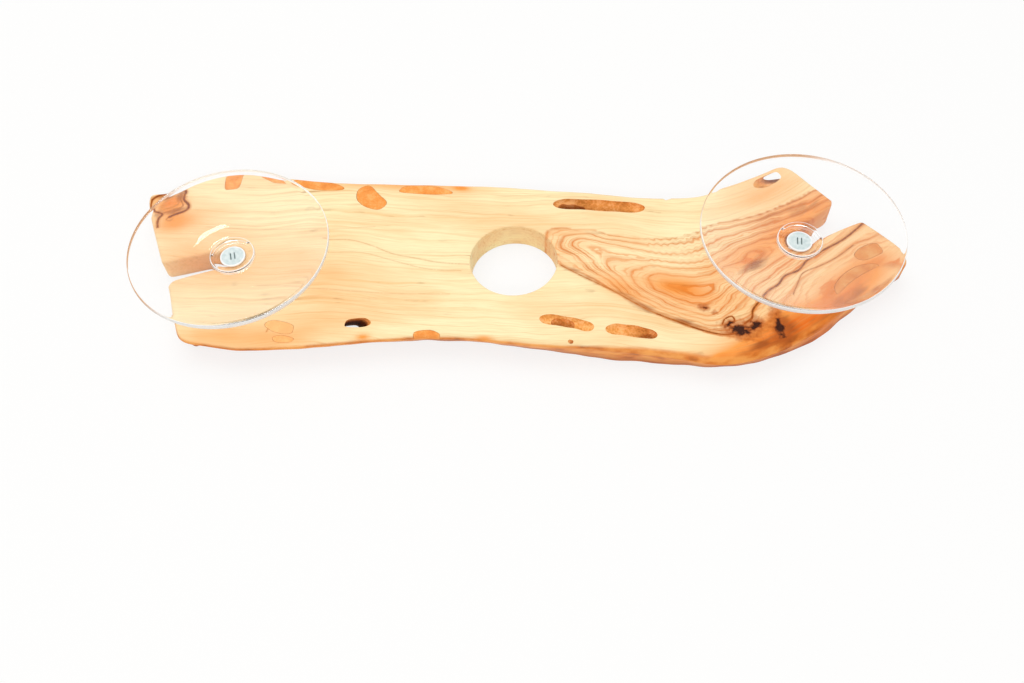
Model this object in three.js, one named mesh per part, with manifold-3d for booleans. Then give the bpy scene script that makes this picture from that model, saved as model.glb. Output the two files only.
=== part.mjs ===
// Wine glass holder: a live-edge olive-wood board with a bore in the middle, which carries one stemmed
// glass upside down in a slot at each end. Millimetres, +Z up. The origin is on the bore's axis in the
// plane of the underside, +X runs along the board and +Y towards its far edge.
import * as THREE from "three";
import { mergeVertices } from "three/addons/utils/BufferGeometryUtils.js";
import Module from "manifold-3d";

// Board
const BOARD_THICKNESS = 11;
const RIM_ROUND = 1.4; // round-over between the top face and the rim
const BASE_ROUND = 0.7; // eased edge round the underside
const BORE_DIAMETER = 33;
const BORE_CHAMFER = 0.6;
const LEFT_REACH = 107.3; // bore axis to the left glass's axis, along X
const RIGHT_REACH = 108; // bore axis to the right glass's axis, along X
const SEAT_OFFSET = 4.2; // both glasses' axes lie this far past the bore, along Y

// Slots
const SLOT_ROUND = 1.2; // round-over along a slot's upper rim
const LEFT_SLOT_ANGLE = 195.5; // way out of the slot, degrees from +X
const RIGHT_SLOT_ANGLE = 34.5;
const SLOT_BEND = 12; // a slot's walls start to part about this far from the glass's axis
const MOUTH_LEAN = 0.35; // past its corner a mouth leans outwards by this share of its width
const LEFT_NEAR_CLEARANCE = 0.5; // stem to the wall on the board's near side
const LEFT_NEAR_LENGTH = 25.1; // glass's axis to the end of that wall, along the slot
const LEFT_NEAR_FLARE = 1.3; // the wall's end stands this far outside its start
const LEFT_NEAR_ROUND = 2.8; // corner at the wall's end, seen from above
const LEFT_FAR_CLEARANCE = 2.9;
const LEFT_FAR_LENGTH = 26.9;
const LEFT_FAR_FLARE = 0.4;
const LEFT_FAR_ROUND = 1.8;
const RIGHT_NEAR_CLEARANCE = 0.4;
const RIGHT_NEAR_LENGTH = 26.8;
const RIGHT_NEAR_FLARE = 3.5;
const RIGHT_NEAR_ROUND = 1.8;
const RIGHT_FAR_CLEARANCE = 3.4;
const RIGHT_FAR_LENGTH = 24.4;
const RIGHT_FAR_FLARE = 0.3;
const RIGHT_FAR_ROUND = 3.2;

// Glasses
const STEM_DIAMETER = 5;
const STEM_LIFT = 0.8; // the stub ends this far above the underside
const STEM_END_ROUND = 1.2;
const PIN_DIAMETER = 3; // pin on the stem, through the foot's hub and into the cap
const PIN_CLEARANCE = 0.3;
const CAP_DIAMETER = 9.6;
const CAP_THICKNESS = 0.7;
const CAP_SOCKET = 0.3; // depth of the cap's socket
const CAP_GAP = 0.1; // cap above the hub's floor, and over the pin's end
const CAP_CHAMFER = 0.15;
const CAP_SLIT_LENGTH = 3.4;
const CAP_SLIT_WIDTH = 0.6;
const CAP_SLIT_DEPTH = 0.2;
const CAP_SLIT_SPACING = 1.5;
const FOOT_DIAMETER = 76;
const FOOT_EDGE = 2; // thickness of the foot at its edge
const FOOT_RISE = 6.6; // underside of the edge above the hub's underside
const FOOT_DISH = 7.1; // the foot's top round the hub lies this far below its edge
const FOOT_BEND = 23; // the foot turns upwards about this far from its axis
const HUB_DIAMETER = 17;
const HUB_LAND = 1; // flat ring round the hub
const HUB_HEIGHT = 2.5; // top of the hub's ring above its underside
const HUB_RING = 0.9; // width of the ring's top
const HUB_FLOOR = 0.4; // thickness of the hub's floor
const HUB_WALL = 2.2; // the wall inside the ring leans in by this much on its way down
const HUB_CHAMFER = 0.4;
const SEAT_GAP = 0.3; // hub above the board, and above the stem's shoulder

// Fills
const FILL_DEPTH = 3;
const FILL_GAP = 0.2; // between a fill and its pocket, all round

// Curve divisions
const RIM_STEPS = 3; // per rim point
const ROUND_STEPS = 3;
const LATHE_SEGMENTS = 64;

const fromLeft = (dx) => dx - LEFT_REACH;
const fromRight = (dx) => dx + RIGHT_REACH;

// Outline of the board at its widest, anticlockwise from the left far corner: x, y, and how far the rim
// runs in under the top face. The ends are placed from the glasses' axes and the middle from the bore.
const RIM = [
  // left end, sawn
  [fromLeft(-38.6), 35.4, 0],
  [fromLeft(-36.0), 26.5, 0],
  [fromLeft(-30.0), 9.0, 0],
  [fromLeft(-22.6), -11.0, 0],
  [fromLeft(-18.6), -24.5, 0.8],
  [fromLeft(-16.4), -30.4, 3.4],
  // front edge
  [fromLeft(-14.0), -32.9, 4.8],
  [fromLeft(-5.0), -35.4, 6.4],
  [fromLeft(8.0), -37.5, 6.8],
  [fromLeft(27.0), -37.2, 6.2],
  [fromLeft(35.0), -36.6, 6.0],
  [-46, -34.8, 5.6],
  [-34, -34.3, 5.2],
  [-20, -35.0, 5.2],
  [-4, -37.0, 5.0],
  [12, -39.2, 4.2],
  [28, -40.6, 2.2],
  [46, -42.6, 1.6],
  [fromRight(-50.0), -44.6, 2.2],
  [fromRight(-40.0), -46.9, 3.2],
  [fromRight(-32.0), -47.4, 3.8],
  [fromRight(-22.0), -45.6, 2.8],
  [fromRight(-11.0), -41.6, 2.0],
  [fromRight(-1.0), -36.0, 1.0],
  [fromRight(7.0), -29.9, 0.2],
  [fromRight(16.2), -23.4, 1.2],
  [fromRight(24.4), -18.6, 2.6],
  [fromRight(31.6), -13.8, 2.8],
  [fromRight(36.8), -8.8, 1.6],
  // right end, sawn
  [fromRight(38.8), -5.2, 0.2],
  [fromRight(38.0), -0.8, 0],
  [fromRight(31.2), 8.2, 0],
  [fromRight(20.6), 19.6, 0],
  [fromRight(9.5), 33.3, 0],
  [fromRight(2.0), 42.2, 0],
  // far edge
  [fromRight(-1.4), 43.5, 0.8],
  [fromRight(-8.0), 40.8, 3.0],
  [fromRight(-18.0), 36.4, 4.2],
  [fromRight(-28.0), 32.4, 4.6],
  [fromRight(-36.0), 29.6, 4.8],
  [48, 30.2, 5.0],
  [34, 32.6, 5.0],
  [16, 34.9, 5.0],
  [-4, 37.4, 5.0],
  [-24, 39.1, 5.0],
  [-46, 40.5, 5.0],
  [fromLeft(34.0), 42.6, 5.0],
  [fromLeft(22.0), 44.4, 5.0],
  [fromLeft(10.0), 46.6, 5.0],
  [fromLeft(1.0), 48.5, 5.0],
  [fromLeft(-7.0), 48.4, 5.0],
  [fromLeft(-15.0), 46.4, 5.0],
  [fromLeft(-22.0), 43.0, 4.4],
  [fromLeft(-27.0), 40.0, 3.6],
  [fromLeft(-32.0), 39.2, 1.6],
  [fromLeft(-36.6), 38.6, 0.2],
];

// Fills seen from above: middle x, y, length, width and angle in degrees from +X.
const FILLS = {
  far_edge_fill_1: [fromLeft(-5.0), 45.4, 12, 6.4, 86],
  far_edge_fill_2: [fromLeft(11.6), 44.2, 10.5, 3.8, -22],
  far_edge_fill_3: [fromLeft(29.2), 40.8, 20, 4.4, -13],
  far_edge_fill_4: [fromLeft(50.9), 33.0, 13, 8, -48],
  far_edge_fill_5: [fromLeft(72.3), 36.2, 21, 3.6, -6],
  front_edge_fill_1: [fromLeft(21.4), -28.4, 10.4, 4.8, -18],
  front_edge_fill_2: [fromLeft(23.0), -33.8, 7.4, 2.8, -6],
  front_edge_fill_3: [-32.0, -33.4, 9.4, 3.6, -4],
  right_prong_fill_1: [fromRight(25.2), -1.4, 10.6, 5.8, 26],
  right_prong_fill_2: [fromRight(17.4), -13.0, 20, 5, 36],
};

// Open galleries, each a round-ended channel: x, y and depth of its centre line below the top face at its
// start and its end, and its width.
const GALLERIES = [
  { from: [18.4, 27.2, 0.4], to: [48.6, 24.4, 0.4], width: 5.6 },
  { from: [19.6, 26.9, 2.8], to: [26.4, 26.2, 3.6], width: 4.4 },
  { from: [11.4, -27.6, -0.6], to: [26.6, -31.4, -0.6], width: 4.8 },
  { from: [15.2, -28.5, 1.6], to: [20.0, -29.8, 1.8], width: 3.8 },
  { from: [35.2, -32.8, -0.8], to: [49.4, -35.6, 1.2], width: 5.0 },
  { from: [46.4, -35.2, 2.2], to: [48.2, -35.5, 2.6], width: 3.4 },
  { from: [19.6, -38.2, 0.8], to: [22.8, -38.9, 0.8], width: 2.2 },
];

// Galleries that come out through the underside or the far edge: x and y at the top face and at the
// underside, with the length, width and angle of the mouth.
const TUNNELS = [
  { top: [-57.4, -27.4], bottom: [-61.8, -22.2], length: 9.6, width: 4.2, angle: 2 },
  { top: [fromRight(-7.8), 36.0], bottom: [fromRight(3.2), 50.0], length: 12.6, width: 5.2, angle: 29 },
];

// The two ends. Of a slot's walls, the first is on the left of someone who looks out through its mouth.
const SIDES = [
  {
    name: "left",
    seat: new THREE.Vector2(-LEFT_REACH, SEAT_OFFSET),
    angle: THREE.MathUtils.degToRad(LEFT_SLOT_ANGLE),
    walls: [
      {
        start: STEM_DIAMETER / 2 + LEFT_NEAR_CLEARANCE,
        length: LEFT_NEAR_LENGTH,
        flare: LEFT_NEAR_FLARE,
        round: LEFT_NEAR_ROUND,
      },
      {
        start: STEM_DIAMETER / 2 + LEFT_FAR_CLEARANCE,
        length: LEFT_FAR_LENGTH,
        flare: LEFT_FAR_FLARE,
        round: LEFT_FAR_ROUND,
      },
    ],
  },
  {
    name: "right",
    seat: new THREE.Vector2(RIGHT_REACH, SEAT_OFFSET),
    angle: THREE.MathUtils.degToRad(RIGHT_SLOT_ANGLE),
    walls: [
      {
        start: STEM_DIAMETER / 2 + RIGHT_FAR_CLEARANCE,
        length: RIGHT_FAR_LENGTH,
        flare: RIGHT_FAR_FLARE,
        round: RIGHT_FAR_ROUND,
      },
      {
        start: STEM_DIAMETER / 2 + RIGHT_NEAR_CLEARANCE,
        length: RIGHT_NEAR_LENGTH,
        flare: RIGHT_NEAR_FLARE,
        round: RIGHT_NEAR_ROUND,
      },
    ],
  },
];

const CUT = 1; // a cutter stands this far out of the face it cuts

const wasm = await Module();
wasm.setup();

const olive = () => new THREE.MeshStandardMaterial({ color: 0xe3b878, roughness: 0.6, metalness: 0 });
const filler = () => new THREE.MeshStandardMaterial({ color: 0xc98a55, roughness: 0.7, metalness: 0 });
const clear = () => new THREE.MeshStandardMaterial({ color: 0xf2f6f6, roughness: 0.05, metalness: 0 });
const pale = () => new THREE.MeshStandardMaterial({ color: 0xc7cfd6, roughness: 0.35, metalness: 0 });

// A closed geometry as a solid that can be joined and cut.
function solid(geometry) {
  const bare = geometry.clone();
  bare.deleteAttribute("normal");
  bare.deleteAttribute("uv");
  const merged = mergeVertices(bare, 1e-4);
  return new wasm.Manifold(
    new wasm.Mesh({
      numProp: 3,
      vertProperties: new Float32Array(merged.attributes.position.array),
      triVerts: new Uint32Array(merged.index.array),
    }),
  );
}

function meshOf(name, body, material) {
  const made = body.getMesh();
  const geometry = new THREE.BufferGeometry();
  geometry.setAttribute("position", new THREE.BufferAttribute(made.vertProperties, 3));
  geometry.setIndex(new THREE.BufferAttribute(made.triVerts, 1));
  geometry.computeVertexNormals();
  const mesh = new THREE.Mesh(geometry, material);
  mesh.name = name;
  return mesh;
}

// A turned shape: its path of radius and height becomes a body of revolution round +Z.
function turned(path) {
  const geometry = new THREE.LatheGeometry(path.getPoints(ROUND_STEPS), LATHE_SEGMENTS);
  return geometry.rotateX(Math.PI / 2);
}

// A closed skin over rings of points. Each level has a height, and an inset that is worked out from a
// point's undercut. The outline runs anticlockwise.
function loft(outline, levels) {
  const count = outline.length;
  const positions = [];
  const faces = [];
  for (const level of levels) {
    outline.forEach((point, i) => {
      const before = outline[(i + count - 1) % count];
      const after = outline[(i + 1) % count];
      const along = new THREE.Vector2(after.x - before.x, after.y - before.y).normalize();
      const inset = level.inset(point.z);
      positions.push(point.x - along.y * inset, point.y + along.x * inset, level.z);
    });
  }
  for (let ring = 0; ring < levels.length - 1; ring++) {
    for (let i = 0; i < count; i++) {
      const a = ring * count + i;
      const b = ring * count + ((i + 1) % count);
      faces.push(a, b, b + count, a, b + count, a + count);
    }
  }
  const ringOf = (level) =>
    outline.map((_, i) => {
      const at = 3 * (level * count + i);
      return new THREE.Vector2(positions[at], positions[at + 1]);
    });
  const last = levels.length - 1;
  for (const [a, b, c] of THREE.ShapeUtils.triangulateShape(ringOf(0), [])) {
    faces.push(a, c, b);
  }
  for (const [a, b, c] of THREE.ShapeUtils.triangulateShape(ringOf(last), [])) {
    faces.push(last * count + a, last * count + b, last * count + c);
  }
  const geometry = new THREE.BufferGeometry();
  geometry.setAttribute("position", new THREE.Float32BufferAttribute(positions, 3));
  geometry.setIndex(faces);
  return geometry;
}

// The board before anything is cut out of it.
function boardBlank() {
  const points = RIM.map(([x, y, undercut]) => new THREE.Vector3(x, y, undercut));
  const curve = new THREE.CatmullRomCurve3(points, true, "centripetal");
  const outline = curve.getPoints(RIM_STEPS * RIM.length).slice(0, -1);
  const levels = [
    { z: 0, inset: (undercut) => undercut + BASE_ROUND },
    { z: BASE_ROUND, inset: (undercut) => undercut },
    { z: BOARD_THICKNESS / 2, inset: (undercut) => undercut * 0.4 },
  ];
  for (let step = 0; step <= ROUND_STEPS; step++) {
    const turn = (step / ROUND_STEPS) * (Math.PI / 2);
    const rise = RIM_ROUND * (1 - Math.sin(turn));
    const inset = RIM_ROUND * (1 - Math.cos(turn));
    levels.push({ z: BOARD_THICKNESS - rise, inset: () => inset });
  }
  return solid(loft(outline, levels));
}

function boreCutter() {
  const radius = BORE_DIAMETER / 2;
  const path = new THREE.Path();
  path.moveTo(0, -CUT);
  path.lineTo(radius + BORE_CHAMFER, -CUT);
  path.lineTo(radius + BORE_CHAMFER, 0);
  path.lineTo(radius, BORE_CHAMFER);
  path.lineTo(radius, BOARD_THICKNESS - BORE_CHAMFER);
  path.lineTo(radius + BORE_CHAMFER, BOARD_THICKNESS);
  path.lineTo(radius + BORE_CHAMFER, BOARD_THICKNESS + CUT);
  path.lineTo(0, BOARD_THICKNESS + CUT);
  return solid(turned(path));
}

// One wall of a slot, from abreast of the glass's axis to where its mouth leans out past the board's end.
function slotWall({ start, length, flare, round }) {
  const corner = new THREE.Vector2(length, start + flare);
  const bend = new THREE.Vector2(SLOT_BEND, start);
  const throat = bend.clone().sub(corner).setLength(round).add(corner);
  const lip = new THREE.Vector2(length + MOUTH_LEAN * round, corner.y + round);
  const beyond = new THREE.Vector2(MOUTH_LEAN, 1).multiplyScalar(2 * FOOT_DIAMETER).add(lip);
  return { bend, throat, corner, lip, beyond };
}

// A slot from the glass's axis out through the sawn end. It opens out at its mouth, its upper rim is rounded
// over and its lower one eased.
function slotCutter(side) {
  const [left, right] = side.walls;
  const a = slotWall(right);
  const b = slotWall(left);
  const shape = new THREE.Shape();
  const middle = (left.start - right.start) / 2;
  shape.absarc(0, middle, (left.start + right.start) / 2, Math.PI / 2, (3 * Math.PI) / 2);
  shape.quadraticCurveTo(a.bend.x, -a.bend.y, a.throat.x, -a.throat.y);
  shape.quadraticCurveTo(a.corner.x, -a.corner.y, a.lip.x, -a.lip.y);
  shape.lineTo(a.beyond.x, -a.beyond.y);
  shape.lineTo(b.beyond.x, b.beyond.y);
  shape.lineTo(b.lip.x, b.lip.y);
  shape.quadraticCurveTo(b.corner.x, b.corner.y, b.throat.x, b.throat.y);
  shape.quadraticCurveTo(b.bend.x, b.bend.y, 0, left.start);
  const outline = shape.getPoints(2 * ROUND_STEPS).slice(0, -1).map((p) => new THREE.Vector3(p.x, p.y, 0));
  const levels = [
    { z: -CUT, inset: () => -BASE_ROUND },
    { z: 0, inset: () => -BASE_ROUND },
    { z: BASE_ROUND, inset: () => 0 },
  ];
  for (let step = 0; step <= ROUND_STEPS; step++) {
    const turn = (step / ROUND_STEPS) * (Math.PI / 2);
    const rise = SLOT_ROUND * (1 - Math.sin(turn));
    const inset = SLOT_ROUND * (Math.cos(turn) - 1);
    levels.push({ z: BOARD_THICKNESS - rise, inset: () => inset });
  }
  levels.push({ z: BOARD_THICKNESS + CUT, inset: () => -SLOT_ROUND });
  const geometry = loft(outline, levels);
  geometry.rotateZ(side.angle);
  geometry.translate(side.seat.x, side.seat.y, 0);
  return solid(geometry);
}

// A round-ended channel between two points below the top face.
function galleryCutter({ from, to, width }) {
  const start = new THREE.Vector3(from[0], from[1], BOARD_THICKNESS - from[2]);
  const end = new THREE.Vector3(to[0], to[1], BOARD_THICKNESS - to[2]);
  const way = end.clone().sub(start);
  const geometry = new THREE.CapsuleGeometry(width / 2, way.length(), 2 * ROUND_STEPS, 12);
  const turn = new THREE.Quaternion().setFromUnitVectors(new THREE.Vector3(0, 1, 0), way.normalize());
  geometry.applyQuaternion(turn);
  geometry.translate(...start.add(end).multiplyScalar(0.5));
  return solid(geometry);
}

// A round-ended slab seen from above, its middle on the Z axis.
function stadium(length, width, height) {
  const radius = width / 2;
  const half = length / 2 - radius;
  const shape = new THREE.Shape();
  shape.absarc(half, 0, radius, -Math.PI / 2, Math.PI / 2);
  shape.absarc(-half, 0, radius, Math.PI / 2, (3 * Math.PI) / 2);
  return new THREE.ExtrudeGeometry(shape, {
    depth: height,
    bevelEnabled: false,
    curveSegments: 2 * ROUND_STEPS,
  });
}

// A slanting gallery: the slab of its mouth, sheared so that it comes out below at another place.
function tunnelCutter({ top, bottom, length, width, angle }) {
  const slant = new THREE.Matrix4().makeShear(
    0,
    0,
    0,
    0,
    (top[0] - bottom[0]) / BOARD_THICKNESS,
    (top[1] - bottom[1]) / BOARD_THICKNESS,
  );
  const geometry = stadium(length, width, BOARD_THICKNESS + 2 * CUT);
  geometry.rotateZ(THREE.MathUtils.degToRad(angle));
  geometry.translate(0, 0, -CUT);
  geometry.applyMatrix4(slant);
  geometry.translate(bottom[0], bottom[1], 0);
  return solid(geometry);
}

// The slab of a fill, or of its pocket when it is grown by the gap.
function fillSlab([x, y, length, width, angle], grow) {
  const geometry = stadium(length + 2 * grow, width + 2 * grow, FILL_DEPTH + grow + CUT);
  geometry.rotateZ(THREE.MathUtils.degToRad(angle));
  geometry.translate(x, y, BOARD_THICKNESS - FILL_DEPTH - grow);
  return solid(geometry);
}

function board(blank) {
  let body = blank.subtract(boreCutter());
  for (const side of SIDES) {
    body = body.subtract(slotCutter(side));
  }
  for (const gallery of GALLERIES) {
    body = body.subtract(galleryCutter(gallery));
  }
  for (const tunnel of TUNNELS) {
    body = body.subtract(tunnelCutter(tunnel));
  }
  for (const place of Object.values(FILLS)) {
    body = body.subtract(fillSlab(place, FILL_GAP));
  }
  return meshOf("board", body, olive());
}

function fills(blank) {
  return Object.entries(FILLS).map(([name, place]) =>
    meshOf(name, blank.intersect(fillSlab(place, 0)), filler()),
  );
}

// The clear foot: a dish with a rounded edge and, in the middle, an open hub with a hole in its floor for the
// stem's pin. Height 0 is the hub's underside.
function glassFoot(name) {
  const radius = FOOT_DIAMETER / 2;
  const hub = HUB_DIAMETER / 2;
  const hole = PIN_DIAMETER / 2 + PIN_CLEARANCE;
  const edge = FOOT_EDGE / 2;
  const dish = FOOT_RISE + FOOT_EDGE - FOOT_DISH;
  const path = new THREE.Path();
  path.moveTo(hole, 0);
  path.lineTo(hub - HUB_CHAMFER, 0);
  path.lineTo(hub, HUB_CHAMFER);
  path.quadraticCurveTo(FOOT_BEND, HUB_CHAMFER, radius - edge, FOOT_RISE);
  path.absarc(radius - edge, FOOT_RISE + edge, edge, -Math.PI / 2, Math.PI / 2);
  path.quadraticCurveTo(FOOT_BEND - edge, dish + edge, hub + HUB_LAND, dish);
  path.quadraticCurveTo(hub, dish, hub, HUB_HEIGHT);
  path.lineTo(hub - HUB_RING, HUB_HEIGHT);
  path.lineTo(hub - HUB_RING - HUB_WALL, HUB_FLOOR);
  path.lineTo(hole, HUB_FLOOR);
  path.lineTo(hole, 0);
  const mesh = meshOf(name, solid(turned(path)), clear());
  mesh.position.z = SEAT_GAP;
  return mesh;
}

const capBase = SEAT_GAP + HUB_FLOOR + CAP_GAP;

// The stub of the stem that stands in the slot, with a pin on top. Height 0 is its shoulder.
function glassStem(name) {
  const radius = STEM_DIAMETER / 2;
  const length = BOARD_THICKNESS - STEM_LIFT;
  const pinTop = capBase + CAP_SOCKET - CAP_GAP;
  const path = new THREE.Path();
  path.moveTo(0, -length);
  path.lineTo(radius - STEM_END_ROUND, -length);
  path.absarc(radius - STEM_END_ROUND, STEM_END_ROUND - length, STEM_END_ROUND, -Math.PI / 2, 0);
  path.lineTo(radius, 0);
  path.lineTo(PIN_DIAMETER / 2, 0);
  path.lineTo(PIN_DIAMETER / 2, pinTop);
  path.lineTo(0, pinTop);
  return meshOf(name, solid(turned(path)), pale());
}

// The cap on the pin's end, inside the hub, with two slits in its face. Height 0 is its underside.
function glassCap(name) {
  const radius = CAP_DIAMETER / 2;
  const socket = PIN_DIAMETER / 2 + CAP_GAP;
  const path = new THREE.Path();
  path.moveTo(0, CAP_SOCKET);
  path.lineTo(socket, CAP_SOCKET);
  path.lineTo(socket, 0);
  path.lineTo(radius, 0);
  path.lineTo(radius, CAP_THICKNESS - CAP_CHAMFER);
  path.lineTo(radius - CAP_CHAMFER, CAP_THICKNESS);
  path.lineTo(0, CAP_THICKNESS);
  let cap = solid(turned(path));
  for (const side of [-1, 1]) {
    const slit = new THREE.BoxGeometry(CAP_SLIT_WIDTH, CAP_SLIT_LENGTH, 2 * CAP_SLIT_DEPTH);
    slit.translate((side * CAP_SLIT_SPACING) / 2, 0, CAP_THICKNESS);
    cap = cap.subtract(solid(slit));
  }
  const mesh = meshOf(name, cap, pale());
  mesh.position.z = capBase;
  return mesh;
}

function glass(side) {
  const group = new THREE.Group();
  group.position.set(side.seat.x, side.seat.y, BOARD_THICKNESS);
  group.rotation.z = side.angle;
  group.add(
    glassFoot(`${side.name}_glass_foot`),
    glassStem(`${side.name}_glass_stem`),
    glassCap(`${side.name}_glass_cap`),
  );
  return group;
}

const blank = boardBlank();
const holder = new THREE.Group();
holder.add(board(blank), ...fills(blank), ...SIDES.map(glass));

export default holder;
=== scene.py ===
"""Wine glass holder: a live-edge olive-wood board with a bore in the middle and, in a slot at each end, the
clear foot and the top of the stem of a glass that hangs upside down.

Lengths are millimetres in the frame of the CAD part, and become metres as they go into a mesh. The origin
is on the bore's axis in the plane of the underside, +X runs along the board and +Y towards its far edge.
"""

import math
from functools import partial

import bmesh
import bpy
import numpy as np
from mathutils import Matrix, Vector
from mathutils.geometry import delaunay_2d_cdt


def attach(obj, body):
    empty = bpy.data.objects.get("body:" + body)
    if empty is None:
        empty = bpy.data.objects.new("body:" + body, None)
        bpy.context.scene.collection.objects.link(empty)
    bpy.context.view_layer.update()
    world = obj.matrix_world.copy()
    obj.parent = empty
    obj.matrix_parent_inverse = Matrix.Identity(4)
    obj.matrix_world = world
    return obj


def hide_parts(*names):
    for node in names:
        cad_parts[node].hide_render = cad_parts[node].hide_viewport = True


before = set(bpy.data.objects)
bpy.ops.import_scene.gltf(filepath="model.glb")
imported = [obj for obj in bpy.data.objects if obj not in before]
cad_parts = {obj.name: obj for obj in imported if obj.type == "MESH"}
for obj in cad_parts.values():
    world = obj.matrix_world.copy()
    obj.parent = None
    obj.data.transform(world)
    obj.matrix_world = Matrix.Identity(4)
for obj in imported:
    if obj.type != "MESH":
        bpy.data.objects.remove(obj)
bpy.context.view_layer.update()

MM = 0.001
PER_MM = 1000.0  # noise and other patterns on Object coordinates, which are metres

# Board
THICKNESS = 11.0
RIM_ROUND = 1.4
SOFT_ROUND = 3.4  # where the natural edge flows over at the right front, and x and -y as it sets in
SOFT_X = (14, 60)
SOFT_Y = (24, 30)
NICK_X = 60.3  # a small nick in the far edge
NICK_WIDTH = 0.8
NICK_DEPTH = 1.1
UNDERCUT_POWER = 1.18  # how the undercut grows on the way down
BASE_ROUND = 0.7
BORE_RADIUS = 16.5
BORE_EASE = 0.6
LEFT = -107.3  # the glasses' axes
RIGHT = 108.0
SEAT = 4.2

# Fineness of the surfaces
RIM_SPACING = 1.1  # between points along the outline
LATTICE = 1.3  # between points on the flat faces
VEIN_SPACING = 0.6  # between points along a dark line
SPAN_STEPS = 48  # on a span of a closed curve
PARABOLA_STEPS = 30
EASE_STEPS = 7  # round an eased corner
BORE_STEPS = 160  # round the bore, a turned piece, a patch and a gallery
TURNED_STEPS = 192
PATCH_STEPS = 96
GALLERY_STEPS = 36
GALLERY_RINGS = 41
WOOD_CREASE = 38  # edges sharper than this stay crisp, in degrees
GLASS_CREASE = 40

# Slots
SLOT_ROUND = 1.2
SLOT_BEND = 12.0
MOUTH_LEAN = 0.35
WALL_PAST = 150.0  # the walls of a slot's cutter run on this far past its mouth
CUT = 1.0  # a cutter stands this far out of the face it cuts
# Each wall of a slot: how far from the glass's axis it starts, its length, how far its end stands outside
# its start, and the corner there. The first is on the left of someone who looks out through the mouth. Then
# the angles of the slits in the cap and of the stretch of the foot's rim with the painted tan refraction.
LEFT_SLOT = {
    "x": LEFT,
    "angle": 195.5,
    "walls": ((3.0, 25.1, 1.3, 2.8), (5.4, 26.9, 0.4, 1.8)),
    "slits": 284,
    "painted_tan_refraction": 185,
}
RIGHT_SLOT = {
    "x": RIGHT,
    "angle": 34.5,
    "walls": ((5.9, 24.4, 0.3, 3.2), (2.9, 26.8, 3.5, 1.8)),
    "slits": 82,
    "painted_tan_refraction": 118,
}

# Glasses
STEM_RADIUS = 2.5
STEM_BASE = 0.8
PIN_RADIUS = 1.5
PIN_TOP = 11.95
CAP_RADIUS = 4.8
CAP_BASE = 11.8
CAP_TOP = 12.5
CAP_FACE = 0.84  # share of the cap's radius inside its lip
CAP_RECESS = 0.3  # recess in the cap for the pin, and the gap round it
PIN_GAP = 0.1
SLIT_LENGTH = 3.4
SLIT_WIDTH = 0.5
SLIT_APART = 1.5
SLIT_DEPTH = 0.35
SEAT_GAP = 0.3
FOOT_RADIUS = 38.0
FOOT_EDGE = 2.0
FOOT_RISE = 6.6
FOOT_DISH = 7.1
FOOT_BEND = 23.0
EDGE_IN = 1.2  # the foot's edge reaches this far in, and its corners are eased
EDGE_ROUND = 0.9
FROST_WIDTH = 0.45  # ground band at the rim
PAINTED_TAN_START = 20.0  # its stretch of painted tan refraction, the wood's colour painted on, measured from the axis
PAINTED_TAN_END = 32.0
RING_GLINT_IN = 0.25  # whitish line on the hub's ring, a painted highlight: its middle, half width and lowest height
RING_GLINT_HALF = 0.2
RING_GLINT_BASE = 1.6
HUB_RADIUS = 8.5
HUB_HEIGHT = 2.5  # ring round the open hub, its wall inside and its floor
HUB_RING = 0.9
HUB_WALL = 2.2
HUB_FLOOR = 0.4
HUB_BASE = 0.4  # where the foot's underside leaves the hub
HUB_HOLE = 1.8
HUB_FILLET = 1.0  # where the dish meets the hub

# Flush patches of wood dust
PATCH_DEPTH = 2.2
PATCH_GAP = 0.12

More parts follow.
